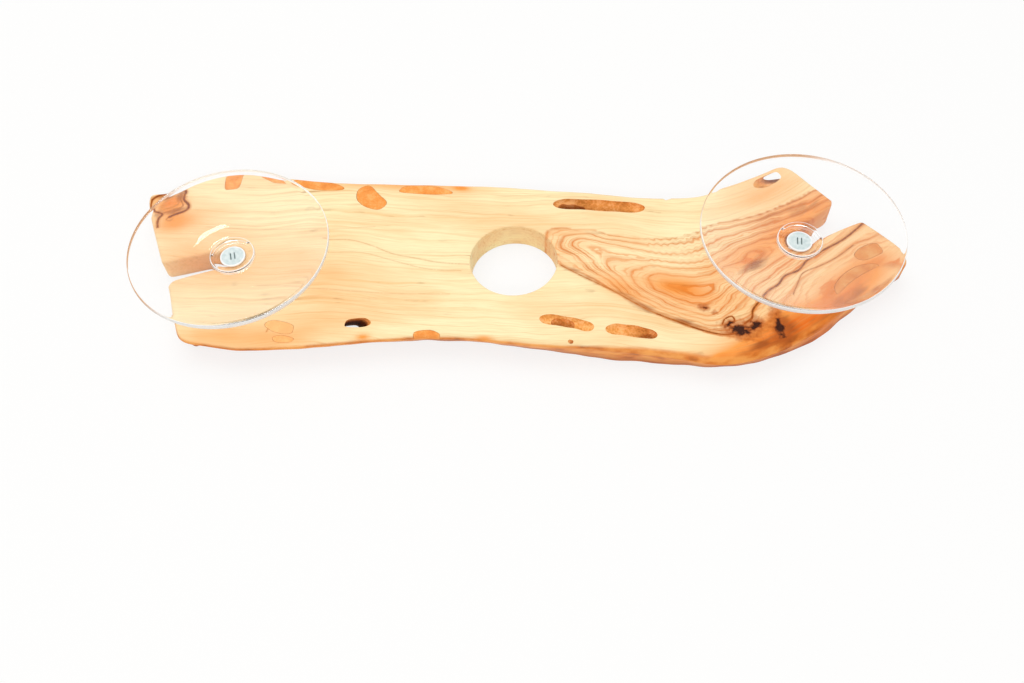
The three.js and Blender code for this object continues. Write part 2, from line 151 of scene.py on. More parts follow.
# Outline of the board at its widest, anticlockwise from the left far corner: x, y and undercut.
RIM = [
    (LEFT - 38.3, 35.4, 0),
    (LEFT - 36.0, 26.5, 0),
    (LEFT - 30.0, 9.0, 0),
    (LEFT - 22.6, -11.0, 0),
    (LEFT - 18.6, -24.5, 0.8),
    (LEFT - 16.4, -30.4, 3.4),
    (LEFT - 14.0, -32.9, 4.8),
    (LEFT - 5.0, -35.4, 6.4),
    (LEFT + 8.0, -37.5, 6.8),
    (LEFT + 27.0, -37.2, 6.2),
    (LEFT + 35.0, -36.6, 6.0),
    (-46, -34.8, 5.6),
    (-34, -34.3, 5.2),
    (-20, -35.0, 5.2),
    (-4, -37.0, 5.0),
    (12, -39.2, 4.2),
    (28, -40.6, 2.2),
    (46, -42.6, 1.6),
    (RIGHT - 50.0, -44.6, 2.2),
    (RIGHT - 40.0, -46.9, 3.2),
    (RIGHT - 32.0, -47.4, 3.8),
    (RIGHT - 22.0, -45.6, 2.8),
    (RIGHT - 11.0, -41.6, 2.0),
    (RIGHT - 1.0, -36.0, 1.0),
    (RIGHT + 7.0, -29.9, 0.2),
    (RIGHT + 16.2, -23.4, 1.2),
    (RIGHT + 24.4, -18.6, 2.6),
    (RIGHT + 31.6, -13.8, 2.8),
    (RIGHT + 36.8, -8.8, 1.6),
    (RIGHT + 38.8, -5.2, 0.2),
    (RIGHT + 38.0, -0.8, 0),
    (RIGHT + 31.2, 8.2, 0),
    (RIGHT + 20.6, 19.6, 0),
    (RIGHT + 9.5, 33.3, 0),
    (RIGHT + 2.0, 42.2, 0),
    (RIGHT - 1.4, 43.5, 0.8),
    (RIGHT - 8.0, 40.8, 3.0),
    (RIGHT - 18.0, 36.4, 4.2),
    (RIGHT - 28.0, 32.4, 4.6),
    (RIGHT - 36.0, 29.6, 4.8),
    (48, 30.2, 5.0),
    (34, 32.6, 5.0),
    (16, 34.9, 5.0),
    (-4, 37.4, 5.0),
    (-24, 39.1, 5.0),
    (-46, 40.5, 5.0),
    (LEFT + 34.0, 42.6, 5.0),
    (LEFT + 22.0, 44.4, 5.0),
    (LEFT + 10.0, 46.6, 5.0),
    (LEFT + 1.0, 48.5, 5.0),
    (LEFT - 7.0, 48.4, 5.0),
    (LEFT - 15.0, 46.4, 5.0),
    (LEFT - 22.0, 43.0, 4.4),
    (LEFT - 27.0, 40.0, 3.6),
    (LEFT - 32.0, 39.2, 1.6),
    (LEFT - 36.4, 38.7, 0.2),
    (LEFT - 37.9, 38.0, 0),
]

# Patches: CAD node, middle x and y, length, width, angle, squareness of the outline, bow, and how dark its
# glue line is, below zero for a faded patch without one.
PATCHES = [
    ("far_edge_fill_1", LEFT - 5.0, 45.4, 12.6, 6.6, 86, 3.4, 0.0, 0.2),
    ("far_edge_fill_2", LEFT + 11.6, 44.2, 11.0, 4.2, -22, 1.6, -0.5, 0.2),
    ("far_edge_fill_3", LEFT + 29.2, 40.8, 21.0, 4.8, -13, 2.0, 0.6, 0.3),
    ("far_edge_fill_4", LEFT + 50.9, 33.0, 14.0, 8.2, -48, 2.6, 1.2, 0.2),
    ("far_edge_fill_5", LEFT + 72.3, 36.2, 21.0, 4.2, -6, 2.2, -0.5, 0.1),
    ("front_edge_fill_1", LEFT + 21.4, -28.4, 11.0, 5.0, -18, 2.4, 0.0, -0.6),
    ("front_edge_fill_2", LEFT + 23.0, -33.8, 7.6, 3.0, -6, 2.2, 0.0, -0.4),
    ("front_edge_fill_3", -32.0, -33.4, 9.6, 3.8, -4, 2.2, 0.0, 0.2),
    ("right_prong_fill_1", RIGHT + 25.2, -1.4, 11.0, 6.0, 26, 2.8, 0.0, 1.0),
    ("right_prong_fill_2", RIGHT + 17.4, -13.0, 21.5, 4.2, 36, 2.4, -2.2, 1.0),
]

# Open galleries, each a round-ended channel: start, end and depth of its axis at both, and its width.
GALLERIES = [
    ((18.4, 27.2, 0.4), (48.6, 24.4, 0.4), 5.6),
    ((19.6, 26.9, 2.8), (26.4, 26.2, 3.6), 4.4),
    ((11.4, -27.6, -0.6), (26.6, -31.4, -0.6), 4.8),
    ((15.2, -28.5, 1.6), (20.0, -29.8, 1.8), 3.8),
    ((35.2, -32.8, -0.8), (49.4, -35.6, 1.2), 5.0),
    ((46.4, -35.2, 2.2), (48.2, -35.5, 2.6), 3.4),
    ((20.0, -38.0, 0.1), (21.8, -38.3, 2.2), 1.8),
]

# Galleries that come out below or through the far edge: x and y at the top face and at the underside,
# length, width and angle.
TUNNELS = [
    ((-57.4, -27.4), (-61.8, -22.2), 9.6, 4.2, 2),
    ((RIGHT - 7.8, 36.0), (RIGHT + 6.8, 52.0), 12.6, 5.2, 29),
]

# Growth lines of the heartwood, each a ring's number and points on it, from the outermost ring, 0, inwards.
# The numbers below 0 lie in the sapwood and keep the rings out of it. The slack lets the rings run smoothly
# past the points.
GROWTH_SLACK = 6.0
GROWTH_LINES = [
    (0, [(14, 14.3), (25, 13.5), (35, 11.5), (45, 9.4), (53, 8), (62, 8), (70, 10.4), (76, 13.4),
         (84, 15.4), (92, 17.6), (99, 20), (106, 23.4), (112, 26.6), (120, 31)]),
    (0, [(14, 0.5), (20, -5), (30, -11.5), (38, -16.8), (44, -21.4), (52, -26.8), (59, -30.6),
         (66, -33.9), (74, -37), (82, -39), (92, -41), (103, -39), (115, -33), (128, -24), (146, -9)]),
    (1, [(18.5, 8.5), (25, 12), (35, 10), (45, 7.8), (53, 6.3), (62, 6.2), (70, 8.6), (76, 11.6),
         (84, 13.6), (92, 15.4), (99, 17.6), (106, 20.6), (113, 24.4), (121, 29)]),
    (1, [(18.5, 6), (22, 2), (27, -2.5), (32, -8.6), (38, -14.8), (44, -19.8), (52, -25), (60, -29.2),
         (67, -32.3), (74, -34.8), (92, -32), (98, -26), (103, -19.5), (107, -12.5), (115, -7),
         (129, 3)]),
    (2, [(22.5, 8), (25, 10), (30, 9.2), (39, 6.6), (48, 3.8), (55, 2), (62, 1.2), (70, 2.2), (76, 5.4),
         (83, 8.6), (90, 11), (97, 13.2), (103, 15.8), (110, 18.6), (117, 22), (122, 25)]),
    (2, [(24, 4.5), (28.5, -1), (33, -6.2), (38, -12.2), (44, -17.8), (51, -22.8), (59, -27.6),
         (67, -31.4), (85, -29.5), (90, -23), (97, -16.6), (104, -10.5), (112, -3.5), (120, 2.2),
         (127, 6.8), (134, 12.8)]),
    (3, [(34, -2), (36, -0.4), (42, -0.6), (49, -1.6), (56, -2.8), (63, -3.4), (70, -2.6), (76, 0),
         (83, 4.2), (90, 7.6), (97, 10.2), (102, 12.4)]),
    (3, [(35, -5), (38, -9.4), (42, -14), (47, -18.6), (54, -23.4), (62, -28), (69, -31), (78, -27),
         (84, -21.5), (91, -14.8), (98, -9.2), (105, -4), (113, 1.6)]),
    (4, [(43, -8), (45, -5.4), (51, -4.8), (58, -6), (65, -6.8), (72, -6), (79, -2.6), (86, 2.2),
         (93, 6)]),
    (4, [(44.5, -12), (49, -16.4), (55, -20.6), (61, -24.6), (67, -27.6), (71, -28.6), (76, -24.6),
         (82, -18.8), (89, -12), (96, -6.4), (103, -1.2)]),
    (5, [(49, -10.5), (52, -8.4), (59, -9.2), (66, -10), (73, -9.2), (80, -5.8), (88, -0.4)]),
    (5, [(51, -13.8), (56, -17), (62, -20.4), (67.5, -23), (70, -23.6), (73, -21.5), (79, -15.6),
         (86, -9), (93, -3.4)]),
    (6, [(55, -12.4), (60, -12.6), (67, -13.8), (73, -12.6), (80, -9)]),
    (6, [(57, -15.4), (63, -18), (69, -20.2), (73, -17.6), (79, -12.6)]),
    (-2, [(10, 22), (35, 19.5), (58, 17), (75, 22), (95, 29), (108, 36), (10, -9), (30, -22), (48, -34),
          (62, -42)]),
    (-5, [(-12, 30), (-12, 7), (-12, -24), (-70, 0), (-140, 30), (-140, -30), (30, 40), (30, -48),
          (90, 44)]),
]

# One fibre along the board, which the others run beside: x and y.
FIBRES = [(-150, 6), (-100, 2), (-70, 3), (-40, -1), (0, -4), (40, -6), (60, -10), (80, -9), (95, -3)]
FIBRES += [(110, 6), (130, 21), (150, 37)]

# Dark lines in the wood: half width, darkness, then points. Past their reach they are not looked for.
VEIN_REACH = 4.0
VEINS = [
    (0.5, 0.95, [(83, -32), (86, -29.5), (86.6, -26.5), (89, -23), (93, -18.8), (97, -16), (100, -12),
                 (105.6, -9.2), (110, -4), (116, 0), (125, 5.2), (134, 13)]),
    (0.3, 0.6, [(102, -20.5), (104.6, -15), (106.4, -11.4), (114.6, -7), (120, -4), (128, 2)]),
    (0.35, 0.9, [(75, -32), (76, -30), (79, -28.8), (79.6, -30.4), (77, -32.2), (80, -34)]),
    (0.45, 0.9, [(52, -26.8), (60, -30.8), (68, -34.6), (76, -36.6), (81, -36)]),
    (0.4, 0.55, [(18, -3.4), (24, -7.6), (30, -11.5), (38, -16.8), (44, -21.4), (52, -26.8),
                 (57, -29.4)]),
    (0.65, 1.0, [(-144, 35.4), (-142.4, 37), (-139.5, 38.2), (-135, 39.4), (-132.5, 40.2)]),
    (0.5, 0.9, [(-144, 35.4), (-144.2, 33), (-143.4, 30.4), (-141.6, 28.4), (-139.4, 27.4)]),
    (0.65, 1.0, [(-132.5, 40.2), (-131, 38.8), (-131.2, 36), (-131, 34.4), (-129.4, 32.4), (-128.6, 31),
                 (-128.8, 29.8), (-130, 28.4), (-132, 27.4), (-134, 26.4), (-135.6, 25.4)]),
    (0.4, 0.6, [(-132.6, 37.6), (-132.8, 35), (-131.6, 32.8), (-131, 31.4), (-132.4, 29.8), (-135, 28.6),
                (-138, 27.6)]),
    (0.35, 0.45, [(-133.6, 34.6), (-133, 32.2), (-134.6, 30.8), (-138, 29.4)]),
    (0.6, 1.0, [(-140.4, 28), (-138.6, 26.8), (-139.6, 25), (-139.8, 23), (-139.4, 20.4)]),
    (0.35, 0.5, [(-135.6, 25.4), (-136.6, 24.2), (-135.2, 23.4), (-134.2, 24.6)]),
    (0.3, 0.28, [(-73, 12.4), (-62, 11.6), (-55, 9), (-46, 4.4), (-38, 2.2), (-28, -0.4), (-17, -1.6)]),
    (0.28, 0.2, [(-71, 6), (-58, 5.4), (-46, 1.2), (-32, -3.4), (-20, -4.6)]),
    (0.28, 0.16, [(-96, -10), (-72, -11.4), (-48, -14.2), (-24, -15.4)]),
    (0.28, 0.14, [(-120, 20), (-98, 18), (-78, 17.4), (-54, 18.2)]),
    (0.3, 0.5, [(-90.4, -26), (-90, -28.2), (-90.6, -30.4)]),
]

# Knots: middle x and y, half length, half width and angle.
KNOTS = [
    (81.4, -34.7, 4.2, 2.5, -14),
    (87.0, -32.8, 2.2, 2.2, 40),
    (77.4, -32.0, 2.0, 1.0, 35),
    (95.3, -34.4, 1.8, 5.2, 8),
    (69.2, -24.4, 1.2, 1.0, 0),
    (72.6, -26.6, 0.7, 0.5, 0),
]

# Warmer areas: middle x and y, reach along and across, angle and strength.
WARM_AREAS = [
    (-134, 22, 9, 5, 20, 0.7),
    (-136.5, 33, 6, 5, 0, 1.3),
    (92, -42, 24, 8, 20, 1.5),
    (101, -33, 9, 9, 0, 0.8),
    (130, -14, 18, 8, 36, 0.7),
    (114, -27, 20, 5, 36, 0.9),
    (60, -14.5, 14, 6, -20, 0.9),
    (40, -15, 16, 3.5, -38, 0.4),
    (98, 30, 22, 8, 25, 0.4),
    (112, 18, 26, 7, 34, 0.4),
    (88, -4, 12, 6, 38, 0.3),
    (-98, -33, 36, 8, 0, 0.7),
    (-55, -33.6, 2.6, 1.3, 4, 0.9),
    (-11, -35.4, 3.4, 1.1, -6, 0.9),
    (-20.5, 36.8, 3.0, 1.2, -10, 0.8),
    (73, -46, 3.4, 1.4, 8, 0.6),
    (-40, 38.5, 40, 2.2, -4, 0.5),
    (-110, 0, 36, 26, 0, 0.3),
    (-62, -2, 22, 14, 0, 0.18),
    (-128, 6, 14, 22, 0, 0.12),
    (-70, -8, 30, 10, -8, 0.14),
]

# Brown smears along the fibres: middle x and y, reach along and across, angle and strength.
SMEARS = [
    (90.5, -5.5, 9, 2.6, 38, 0.9),
    (113, 21.5, 11, 3.2, 32, 0.75),
    (91, -41, 13, 2.6, 22, 1.1),
    (-138, 32, 6, 5, 20, 0.35),
    (-132.6, 35.6, 1.8, 4.2, 0, 0.9),
    (-139, 37.4, 5.5, 1.4, 10, 0.8),
    (-140.4, 27, 2.4, 2.4, 0, 0.9),
    (-133.4, 28.6, 4.6, 1.5, 26, 0.8),
    (28, -9.6, 11, 1.7, -33, 0.7),
    (46, -22.4, 11, 1.7, -35, 0.8),
    (62, -31.2, 9, 1.5, -27, 0.8),
    (36, 11.6, 16, 1.2, -12, 0.45),
    (61, -46.4, 4.5, 2.0, -8, 1.0),
    (62, -14.5, 6, 2.2, -10, 0.55),
    (98, -34, 3.5, 6.5, 8, 0.9),
    (120, -24, 16, 3.0, 36, 0.55),
]

# Fields of the wood's figure and the painted shade on the rim, one number for each vertex, which its
# material reads.
FIELDS = ["rings", "ring_step", "heart", "fiddleback", "knot", "warmth", "smear", "vein"]
FIELDS += ["along", "across", "live_edge_and_rim_shade"]

# Noises of the grain: their size along, across and down the fibres, and their detail.
NOISES = {
    "wander": ((30, 9, 9), 2.0),
    "sway": ((8, 4, 4), 2.0),
    "fade": ((40, 6, 9), 2.0),
    "pores": ((7, 0.35, 1), 2.0),
    "clouds": ((45, 16, 16), 2.0),
    "edge": ((9, 9, 4), 4.0),
}


def add_node(tree, kind, sockets=None, out=0, stops=(), **settings):
    """Adds a node with its settings and gives one of its outputs, if it has any. A socket takes a value, a
    hex colour or another node's output, and stops of greys or hex colours fill a ramp."""
    made = tree.nodes.new("ShaderNode" + kind)
    for setting, value in settings.items():
        setattr(made, setting, value)
    for socket, value in (sockets or {}).items():
        if isinstance(value, bpy.types.NodeSocket):
            tree.links.new(value, made.inputs[socket])
        else:
            made.inputs[socket].default_value = linear(value) if isinstance(value, str) else value
    if stops:
        ramp = made.color_ramp
        while len(ramp.elements) < len(stops):
            ramp.elements.new(1.0)
        for element, (place, tone) in zip(ramp.elements, stops):
            element.position = place
            element.color = linear(tone) if isinstance(tone, str) else (tone, tone, tone, 1.0)
    return made.outputs[out] if made.outputs else made


def linear(hex_colour):
    """An sRGB hex value as linear red, green, blue and alpha."""
    parts = [int(hex_colour[i : i + 2], 16) / 255 for i in (1, 3, 5)]
    return tuple(p / 12.92 if p <= 0.04045 else ((p + 0.055) / 1.055) ** 2.4 for p in parts) + (1.0,)


def new_material(name):
    """An empty node material, and the function that adds a node to it."""
    material = bpy.data.materials.new(name)
    material.use_nodes = True
    material.node_tree.nodes.clear()
    return material, partial(add_node, material.node_tree)


def closed_curve(points, spacing):
    """Evenly spaced points on the closed Catmull-Rom curve through the given ones: a cubic on each span, its
    end slopes worked out from the neighbouring chords, each timed by the root of its length."""
    p0, p1, p2, p3 = (np.roll(points, shift, axis=0) for shift in (1, 0, -1, -2))
    chords = ((p0, p1), (p1, p2), (p2, p3))
    d0, d1, d2 = (np.sqrt(np.linalg.norm(b - a, axis=1))[:, None] for a, b in chords)
    m1 = ((p1 - p0) / d0 - (p2 - p0) / (d0 + d1) + (p2 - p1) / d1) * d1
    m2 = ((p2 - p1) / d1 - (p3 - p1) / (d1 + d2) + (p3 - p2) / d2) * d1
    t = np.linspace(0, 1, SPAN_STEPS, endpoint=False)[None, :, None]
    p1, p2, m1, m2 = (a[:, None, :] for a in (p1, p2, m1, m2))
    spans = (2 * t**3 - 3 * t**2 + 1) * p1 + (t**3 - 2 * t**2 + t) * m1
    spans = spans + (3 * t**2 - 2 * t**3) * p2 + (t**3 - t**2) * m2
    dense = spans.reshape(-1, points.shape[1])
    dense = np.vstack([dense, dense[:1]])
    run = np.concatenate([[0], np.cumsum(np.linalg.norm(np.diff(dense[:, :2], axis=0), axis=1))])
    at = np.linspace(0, run[-1], int(run[-1] / spacing), endpoint=False)
    return np.column_stack([np.interp(at, run, column) for column in dense.T])


def follow(x, points):
    """Height of a smooth line over x: cubic Hermite spans with the slopes of the neighbouring chords."""
    px, py = np.transpose(np.array(points, float))
    slope = np.gradient(py, px)
    inside = np.clip(x, px[0], px[-1])
    span = np.clip(np.searchsorted(px, inside) - 1, 0, len(px) - 2)
    width = px[span + 1] - px[span]
    t = (inside - px[span]) / width
    rise = (2 * t**3 - 3 * t**2 + 1) * py[span] + (3 * t**2 - 2 * t**3) * py[span + 1]
    return rise + width * ((t**3 - 2 * t**2 + t) * slope[span] + (t**3 - t**2) * slope[span + 1])


def ease(value, start, end):
    """0 below start and 1 above end, with the smooth step 3t^2 - 2t^3 between them."""
    t = np.clip((value - start) / (end - start), 0, 1)
    return t * t * (3 - 2 * t)


def new_object(name, vertices, faces):
    """An object from vertices in millimetres: doubles are merged and faces turned outwards."""
    mesh = bpy.data.meshes.new(name)
    mesh.from_pydata((np.asarray(vertices) * MM).tolist(), [], faces)
    work = bmesh.new()
    work.from_mesh(mesh)
    bmesh.ops.remove_doubles(work, verts=work.verts, dist=2e-6)
    bmesh.ops.recalc_face_normals(work, faces=work.faces)
    work.to_mesh(mesh)
    work.free()
    made = bpy.data.objects.new(name, mesh)
    bpy.context.scene.collection.objects.link(made)
    return made


def grid_faces(rows, columns):
    """Quads of a grid of rows by columns that closes on itself along each row."""
    index = np.arange(rows * columns).reshape(rows, columns)
    after = np.roll(index, -1, axis=1)
    return np.stack([index[:-1], after[:-1], after[1:], index[1:]], axis=-1).reshape(-1, 4).tolist()


def stacked_rings(outline, heights, insets):
    """Rings of points: the outline moved along its inward normals by an inset, at a height. Both are arrays
    of levels by points, or of levels alone."""
    ahead = np.roll(outline, -1, axis=0) - np.roll(outline, 1, axis=0)
    inward = np.column_stack([-ahead[:, 1], ahead[:, 0]]) / np.linalg.norm(ahead, axis=1)[:, None]
    levels = (np.asarray(a, float) for a in (heights, insets))
    heights, insets = (a if a.ndim == 2 else np.repeat(a[:, None], len(outline), axis=1) for a in levels)
    flat = outline[None] + inward[None] * insets[:, :, None]
    return np.concatenate([flat, heights[:, :, None]], axis=2)


def skin(name, rings):
    """A closed object over rings of points, with a flat face over the first and the last ring."""
    levels, count, _ = rings.shape
    caps = [list(range(count))[::-1], list(range((levels - 1) * count, levels * count))]
    return new_object(name, rings.reshape(-1, 3), grid_faces(levels, count) + caps)


def vein_path(points):
    """Points on the smooth line through the given ones, and the direction across it at each."""
    points = np.array(points, float)
    run = np.concatenate([[0], np.cumsum(np.linalg.norm(np.diff(points, axis=0), axis=1))])
    at = np.linspace(0, run[-1], int(run[-1] / VEIN_SPACING) + 2)
    path = np.column_stack([follow(at, np.column_stack([run, column])) for column in points.T])
    ahead = np.gradient(path, axis=0)
    return path, np.column_stack([-ahead[:, 1], ahead[:, 0]]) / np.linalg.norm(ahead, axis=1)[:, None]


def lattice_fill(ring):
    """Triangles over the flat area inside a ring of points, at their height, with an even lattice inside it
    and rows of points on and beside each dark line, which would slip through the lattice."""
    low, high = ring[:, :2].min(axis=0), ring[:, :2].max(axis=0)
    across, up = np.meshgrid(np.arange(low[0], high[0], LATTICE), np.arange(low[1], high[1], LATTICE))
    across = across + np.where(np.arange(len(across)) % 2, LATTICE / 2, 0)[:, None]
    flat = [ring[:, :2], np.column_stack([across.ravel(), up.ravel()])]
    for half_width, _, points in VEINS:
        path, side = vein_path(points)
        flat += [path + offset * half_width * side for offset in (-2.4, -1.2, 0, 1.2, 2.4)]
    flat = [Vector(p) for p in np.vstack(flat).tolist()]
    points, _, faces, *_ = delaunay_2d_cdt(flat, [], [list(range(len(ring)))], 1, 1e-6)
    spread = np.array([tuple(p) for p in points])
    return np.column_stack([spread, np.full(len(spread), ring[0, 2])]), faces


def turned(name, profile, centre):
    """A body of revolution: each point of the profile, a radius and a height, carried round the axis."""
    turn = np.linspace(0, 2 * math.pi, TURNED_STEPS, endpoint=False)
    radius, height = profile[:, :1], profile[:, 1:]
    x = centre[0] + radius * np.cos(turn)
    y = centre[1] + radius * np.sin(turn)
    z = np.repeat(centre[2] + height, TURNED_STEPS, axis=1)
    points = np.stack([x, y, z], axis=-1).reshape(-1, 3)
    return new_object(name, points, grid_faces(len(profile), TURNED_STEPS))


def eased_profile(corners):
    """A profile through corners, each (radius, height, easing): a corner is replaced by the parabola that
    starts and ends its easing away along the two sides, at most 0.49 of a side."""
    corners = np.array(corners, float)
    points, easing = corners[:, :2], corners[1:-1, 2:]
    before, here, after = points[:-2], points[1:-1], points[2:]
    back, on = before - here, after - here
    back_length, on_length = (np.linalg.norm(v, axis=1)[:, None] for v in (back, on))
    start = here + back / back_length * np.minimum(easing, 0.49 * back_length)
    end = here + on / on_length * np.minimum(easing, 0.49 * on_length)
    t = np.linspace(0, 1, EASE_STEPS)[None, :, None]
    arcs = (1 - t) ** 2 * start[:, None] + 2 * t * (1 - t) * here[:, None] + t**2 * end[:, None]
    return np.vstack([points[:1], arcs.reshape(-1, 2), points[-1:]])


def carve(target, cutters, operation="DIFFERENCE"):
    """Cuts the cutters out of the target, or keeps what it shares with them, and deletes the cutters."""
    for cutter in cutters:
        change = target.modifiers.new(cutter.name, "BOOLEAN")
        change.operation = operation
        change.solver = "MANIFOLD"
        change.object = cutter
    ready = target.evaluated_get(bpy.context.evaluated_depsgraph_get())
    result = bpy.data.meshes.new_from_object(ready)
    target.modifiers.clear()
    target.data = result
    for cutter in cutters:
        bpy.data.objects.remove(cutter)


def shade(piece, degrees):
    """Smooth shading, with edges sharper than an angle kept crisp."""
    piece.data.shade_smooth()
    piece.data.set_sharp_from_angle(angle=math.radians(degrees))


rim = closed_curve(np.array(RIM, float), RIM_SPACING)
rim_run = np.arange(len(rim)) * RIM_SPACING
rim_natural = np.clip(rim[:, 2] / 0.8, 0, 1)  # 0 on the two sawn ends


def side_inset(height, undercut):
    """How far the side lies in from the widest outline: the undercut times a power of the way down."""
    way_down = np.clip((THICKNESS - RIM_ROUND - height) / (THICKNESS - RIM_ROUND - BASE_ROUND), 0, 1)
    return undercut * way_down**UNDERCUT_POWER


def board_blank(name):
    """The board before it is cut: its outline carried up the profile of the edge. The side leans in by the
    undercut, ripples along the natural edges as a sum of sines of the way round, and is rounded over above
    and eased below; the two flat faces are filled with a lattice of triangles."""
    swell = 1 + np.sin(rim_run / 4.1 + 1.7 * np.sin(rim_run / 13))
    flutter = 1 + np.sin(rim_run / 1.7 + 0.8 * np.sin(rim_run / 5))
    ripple = rim_natural * (0.2 * swell + 0.08 * flutter)
    nick = (rim[:, 1] > 0) * NICK_DEPTH * np.exp(-(((rim[:, 0] - NICK_X) / NICK_WIDTH) ** 2))
    soft = ease(rim[:, 0], *SOFT_X) * ease(-rim[:, 1], *SOFT_Y)
    over = RIM_ROUND + (SOFT_ROUND - RIM_ROUND) * soft
    undercut = rim[:, 2]
    heights, insets = [], []
    for turn in np.linspace(math.pi / 2, 0, 4):
        heights.append(np.full(len(rim), BASE_ROUND * (1 - math.sin(turn))))
        insets.append(undercut + ripple + BASE_ROUND * (1 - math.cos(turn)))
    for share in np.linspace(0.12, 0.88, 6):
        height = BASE_ROUND + share * (THICKNESS - over - BASE_ROUND)
        heights.append(height)
        insets.append(side_inset(height, undercut) + ripple * (1 - 0.6 * share) + nick * share)
    for turn in np.linspace(0, math.pi / 2, 8):
        heights.append(THICKNESS - over * (1 - math.sin(turn)))
        insets.append(0.4 * ripple + nick + over * (1 - math.cos(turn)))
    rings = stacked_rings(rim[:, :2], np.array(heights), np.array(insets))
    vertices, faces = rings.reshape(-1, 3), grid_faces(len(heights), len(rim))
    for ring in (rings[0], rings[-1]):
        points, triangles = lattice_fill(ring)
        faces += [[i + len(vertices) for i in face] for face in triangles]
        vertices = np.vstack([vertices, points])
    return new_object(name, vertices, faces)


def bore_cutter():
    """The bore: a circle stacked through the board, opening by an eased edge at both faces."""
    turn = np.linspace(0, 2 * math.pi, BORE_STEPS, endpoint=False)
    outline = BORE_RADIUS * np.column_stack([np.cos(turn), np.sin(turn)])
    ring = np.linspace(0, math.pi / 2, 6)
    rise, out = BORE_EASE * (1 - np.cos(ring)), BORE_EASE * (1 - np.sin(ring))
    below, above = np.array([-CUT]), np.array([THICKNESS + CUT])
    heights = np.concatenate([below, rise, THICKNESS - rise[::-1], above])
    insets = -np.concatenate([[BORE_EASE], out, out[::-1], [BORE_EASE]])
    return skin("bore cutter", stacked_rings(outline, heights, insets))


def parabola(start, middle, end):
    """Points after the start of the parabola that leaves a point towards a middle one and ends at a
    third."""
    way = np.linspace(0, 1, PARABOLA_STEPS)[1:, None]
    start, middle, end = (np.array(p) for p in (start, middle, end))
    return (1 - way) ** 2 * start + 2 * way * (1 - way) * middle + way**2 * end


def slot_wall(start, length, flare, lip):
    """A slot's wall from abreast of the glass's axis outwards: a parabola that leaves along the slot,
    another round the corner of the mouth, and a point well past the board's end."""
    corner = np.array([length, start + flare])
    bend = np.array([SLOT_BEND, start])
    throat = corner + lip * (bend - corner) / np.linalg.norm(bend - corner)
    end = corner + (MOUTH_LEAN * lip, lip)
    past = end + (WALL_PAST * MOUTH_LEAN, WALL_PAST)
    inner, lip_bend = parabola((0, start), bend, throat), parabola(throat, corner, end)
    return np.vstack([(0, start), inner, lip_bend, past])


def slot_cutter(slot):
    """A slot from the glass's axis out through the sawn end: a half circle and the two walls. The levels
    round its upper rim over and ease the lower one."""
    left, right = (slot_wall(*wall) for wall in slot["walls"])
    turn = np.linspace(math.pi / 2, 3 * math.pi / 2, 40)[1:-1]
    half_width = (left[0, 1] + right[0, 1]) / 2
    back = half_width * np.column_stack([np.cos(turn), np.sin(turn)]) + (0, left[0, 1] - half_width)
    outline = np.vstack([back, right * (1, -1), left[::-1]])
    ring = np.linspace(0, math.pi / 2, 7)
    below = [-CUT, 0, 0.7 * BASE_ROUND, 2 * BASE_ROUND]
    ease_below = BASE_ROUND * np.array([1, 1, 0.3, 0])
    heights = np.concatenate([below, THICKNESS - SLOT_ROUND * (1 - np.sin(ring)), [THICKNESS + CUT]])
    insets = -np.concatenate([ease_below, SLOT_ROUND * (1 - np.cos(ring)), [SLOT_ROUND]])
    rings = stacked_rings(outline, heights, insets)
    rings[:, :, :2] = placed(rings[:, :, :2], slot["x"], SEAT, slot["angle"])
    return skin("slot cutter", rings)


def gallery_cutter(start, end, width):
    """An eaten channel: a tube from start to end whose radius swells as (1 - (2t - 1)^6)^(1/2), with a
    shallow ripple round it and a slow sway from side to side."""
    start = np.array([start[0], start[1], THICKNESS - start[2]])
    end = np.array([end[0], end[1], THICKNESS - end[2]])
    way = (end - start) / np.linalg.norm(end - start)
    start, end = start - way * width / 2, end + way * width / 2
    side = np.cross([0, 0, 1.0], way)
    side = side / np.linalg.norm(side)
    up = np.cross(way, side)
    t = 0.5 - 0.5 * np.cos(np.linspace(0, math.pi, GALLERY_RINGS))[:, None]
    turn = np.linspace(0, 2 * math.pi, GALLERY_STEPS, endpoint=False)[None]
    full = np.sqrt(np.clip(1 - (2 * t - 1) ** 6, 0, 1))
    ripple = 1 + 0.03 * np.sin(3 * turn + 11 * t) + 0.04 * np.sin(17 * t + 2 * turn + width)
    radius = width / 2 * full * ripple
    sway = 0.05 * width * np.sin(2 * math.pi * t + width)[:, :, None] * side
    middle = start + (end - start) * t[:, :, None] + sway
    tube = middle + radius[:, :, None] * (np.cos(turn)[:, :, None] * side + np.sin(turn)[:, :, None] * up)
    return new_object("gallery cutter", tube.reshape(-1, 3), grid_faces(*radius.shape))


def patch_outline(length, width, square, bow, grow):
    """Outline of a patch or mouth about its middle: the superellipse |x/a|^k + |y/b|^k = 1 with a slow
    ripple, bent along a parabola and grown outwards."""
    turn = np.linspace(0, 2 * math.pi, PATCH_STEPS, endpoint=False)
    ripple = 1 + 0.035 * np.sin(3 * turn + length) + 0.025 * np.sin(5 * turn + 2 * width)
    half = np.array([length / 2, width / 2]) + grow
    x = half[0] * np.sign(np.cos(turn)) * np.abs(np.cos(turn)) ** (2 / square) * ripple
    y = half[1] * np.sign(np.sin(turn)) * np.abs(np.sin(turn)) ** (2 / square) * ripple
    return np.column_stack([x, y + bow * ((x / half[0]) ** 2 - 0.4)])


def placed(outline, x, y, angle):
    """An outline turned about its middle and moved to x, y."""
    cosine, sine = math.cos(math.radians(angle)), math.sin(math.radians(angle))
    return outline @ np.array([[cosine, sine], [-sine, cosine]]) + (x, y)


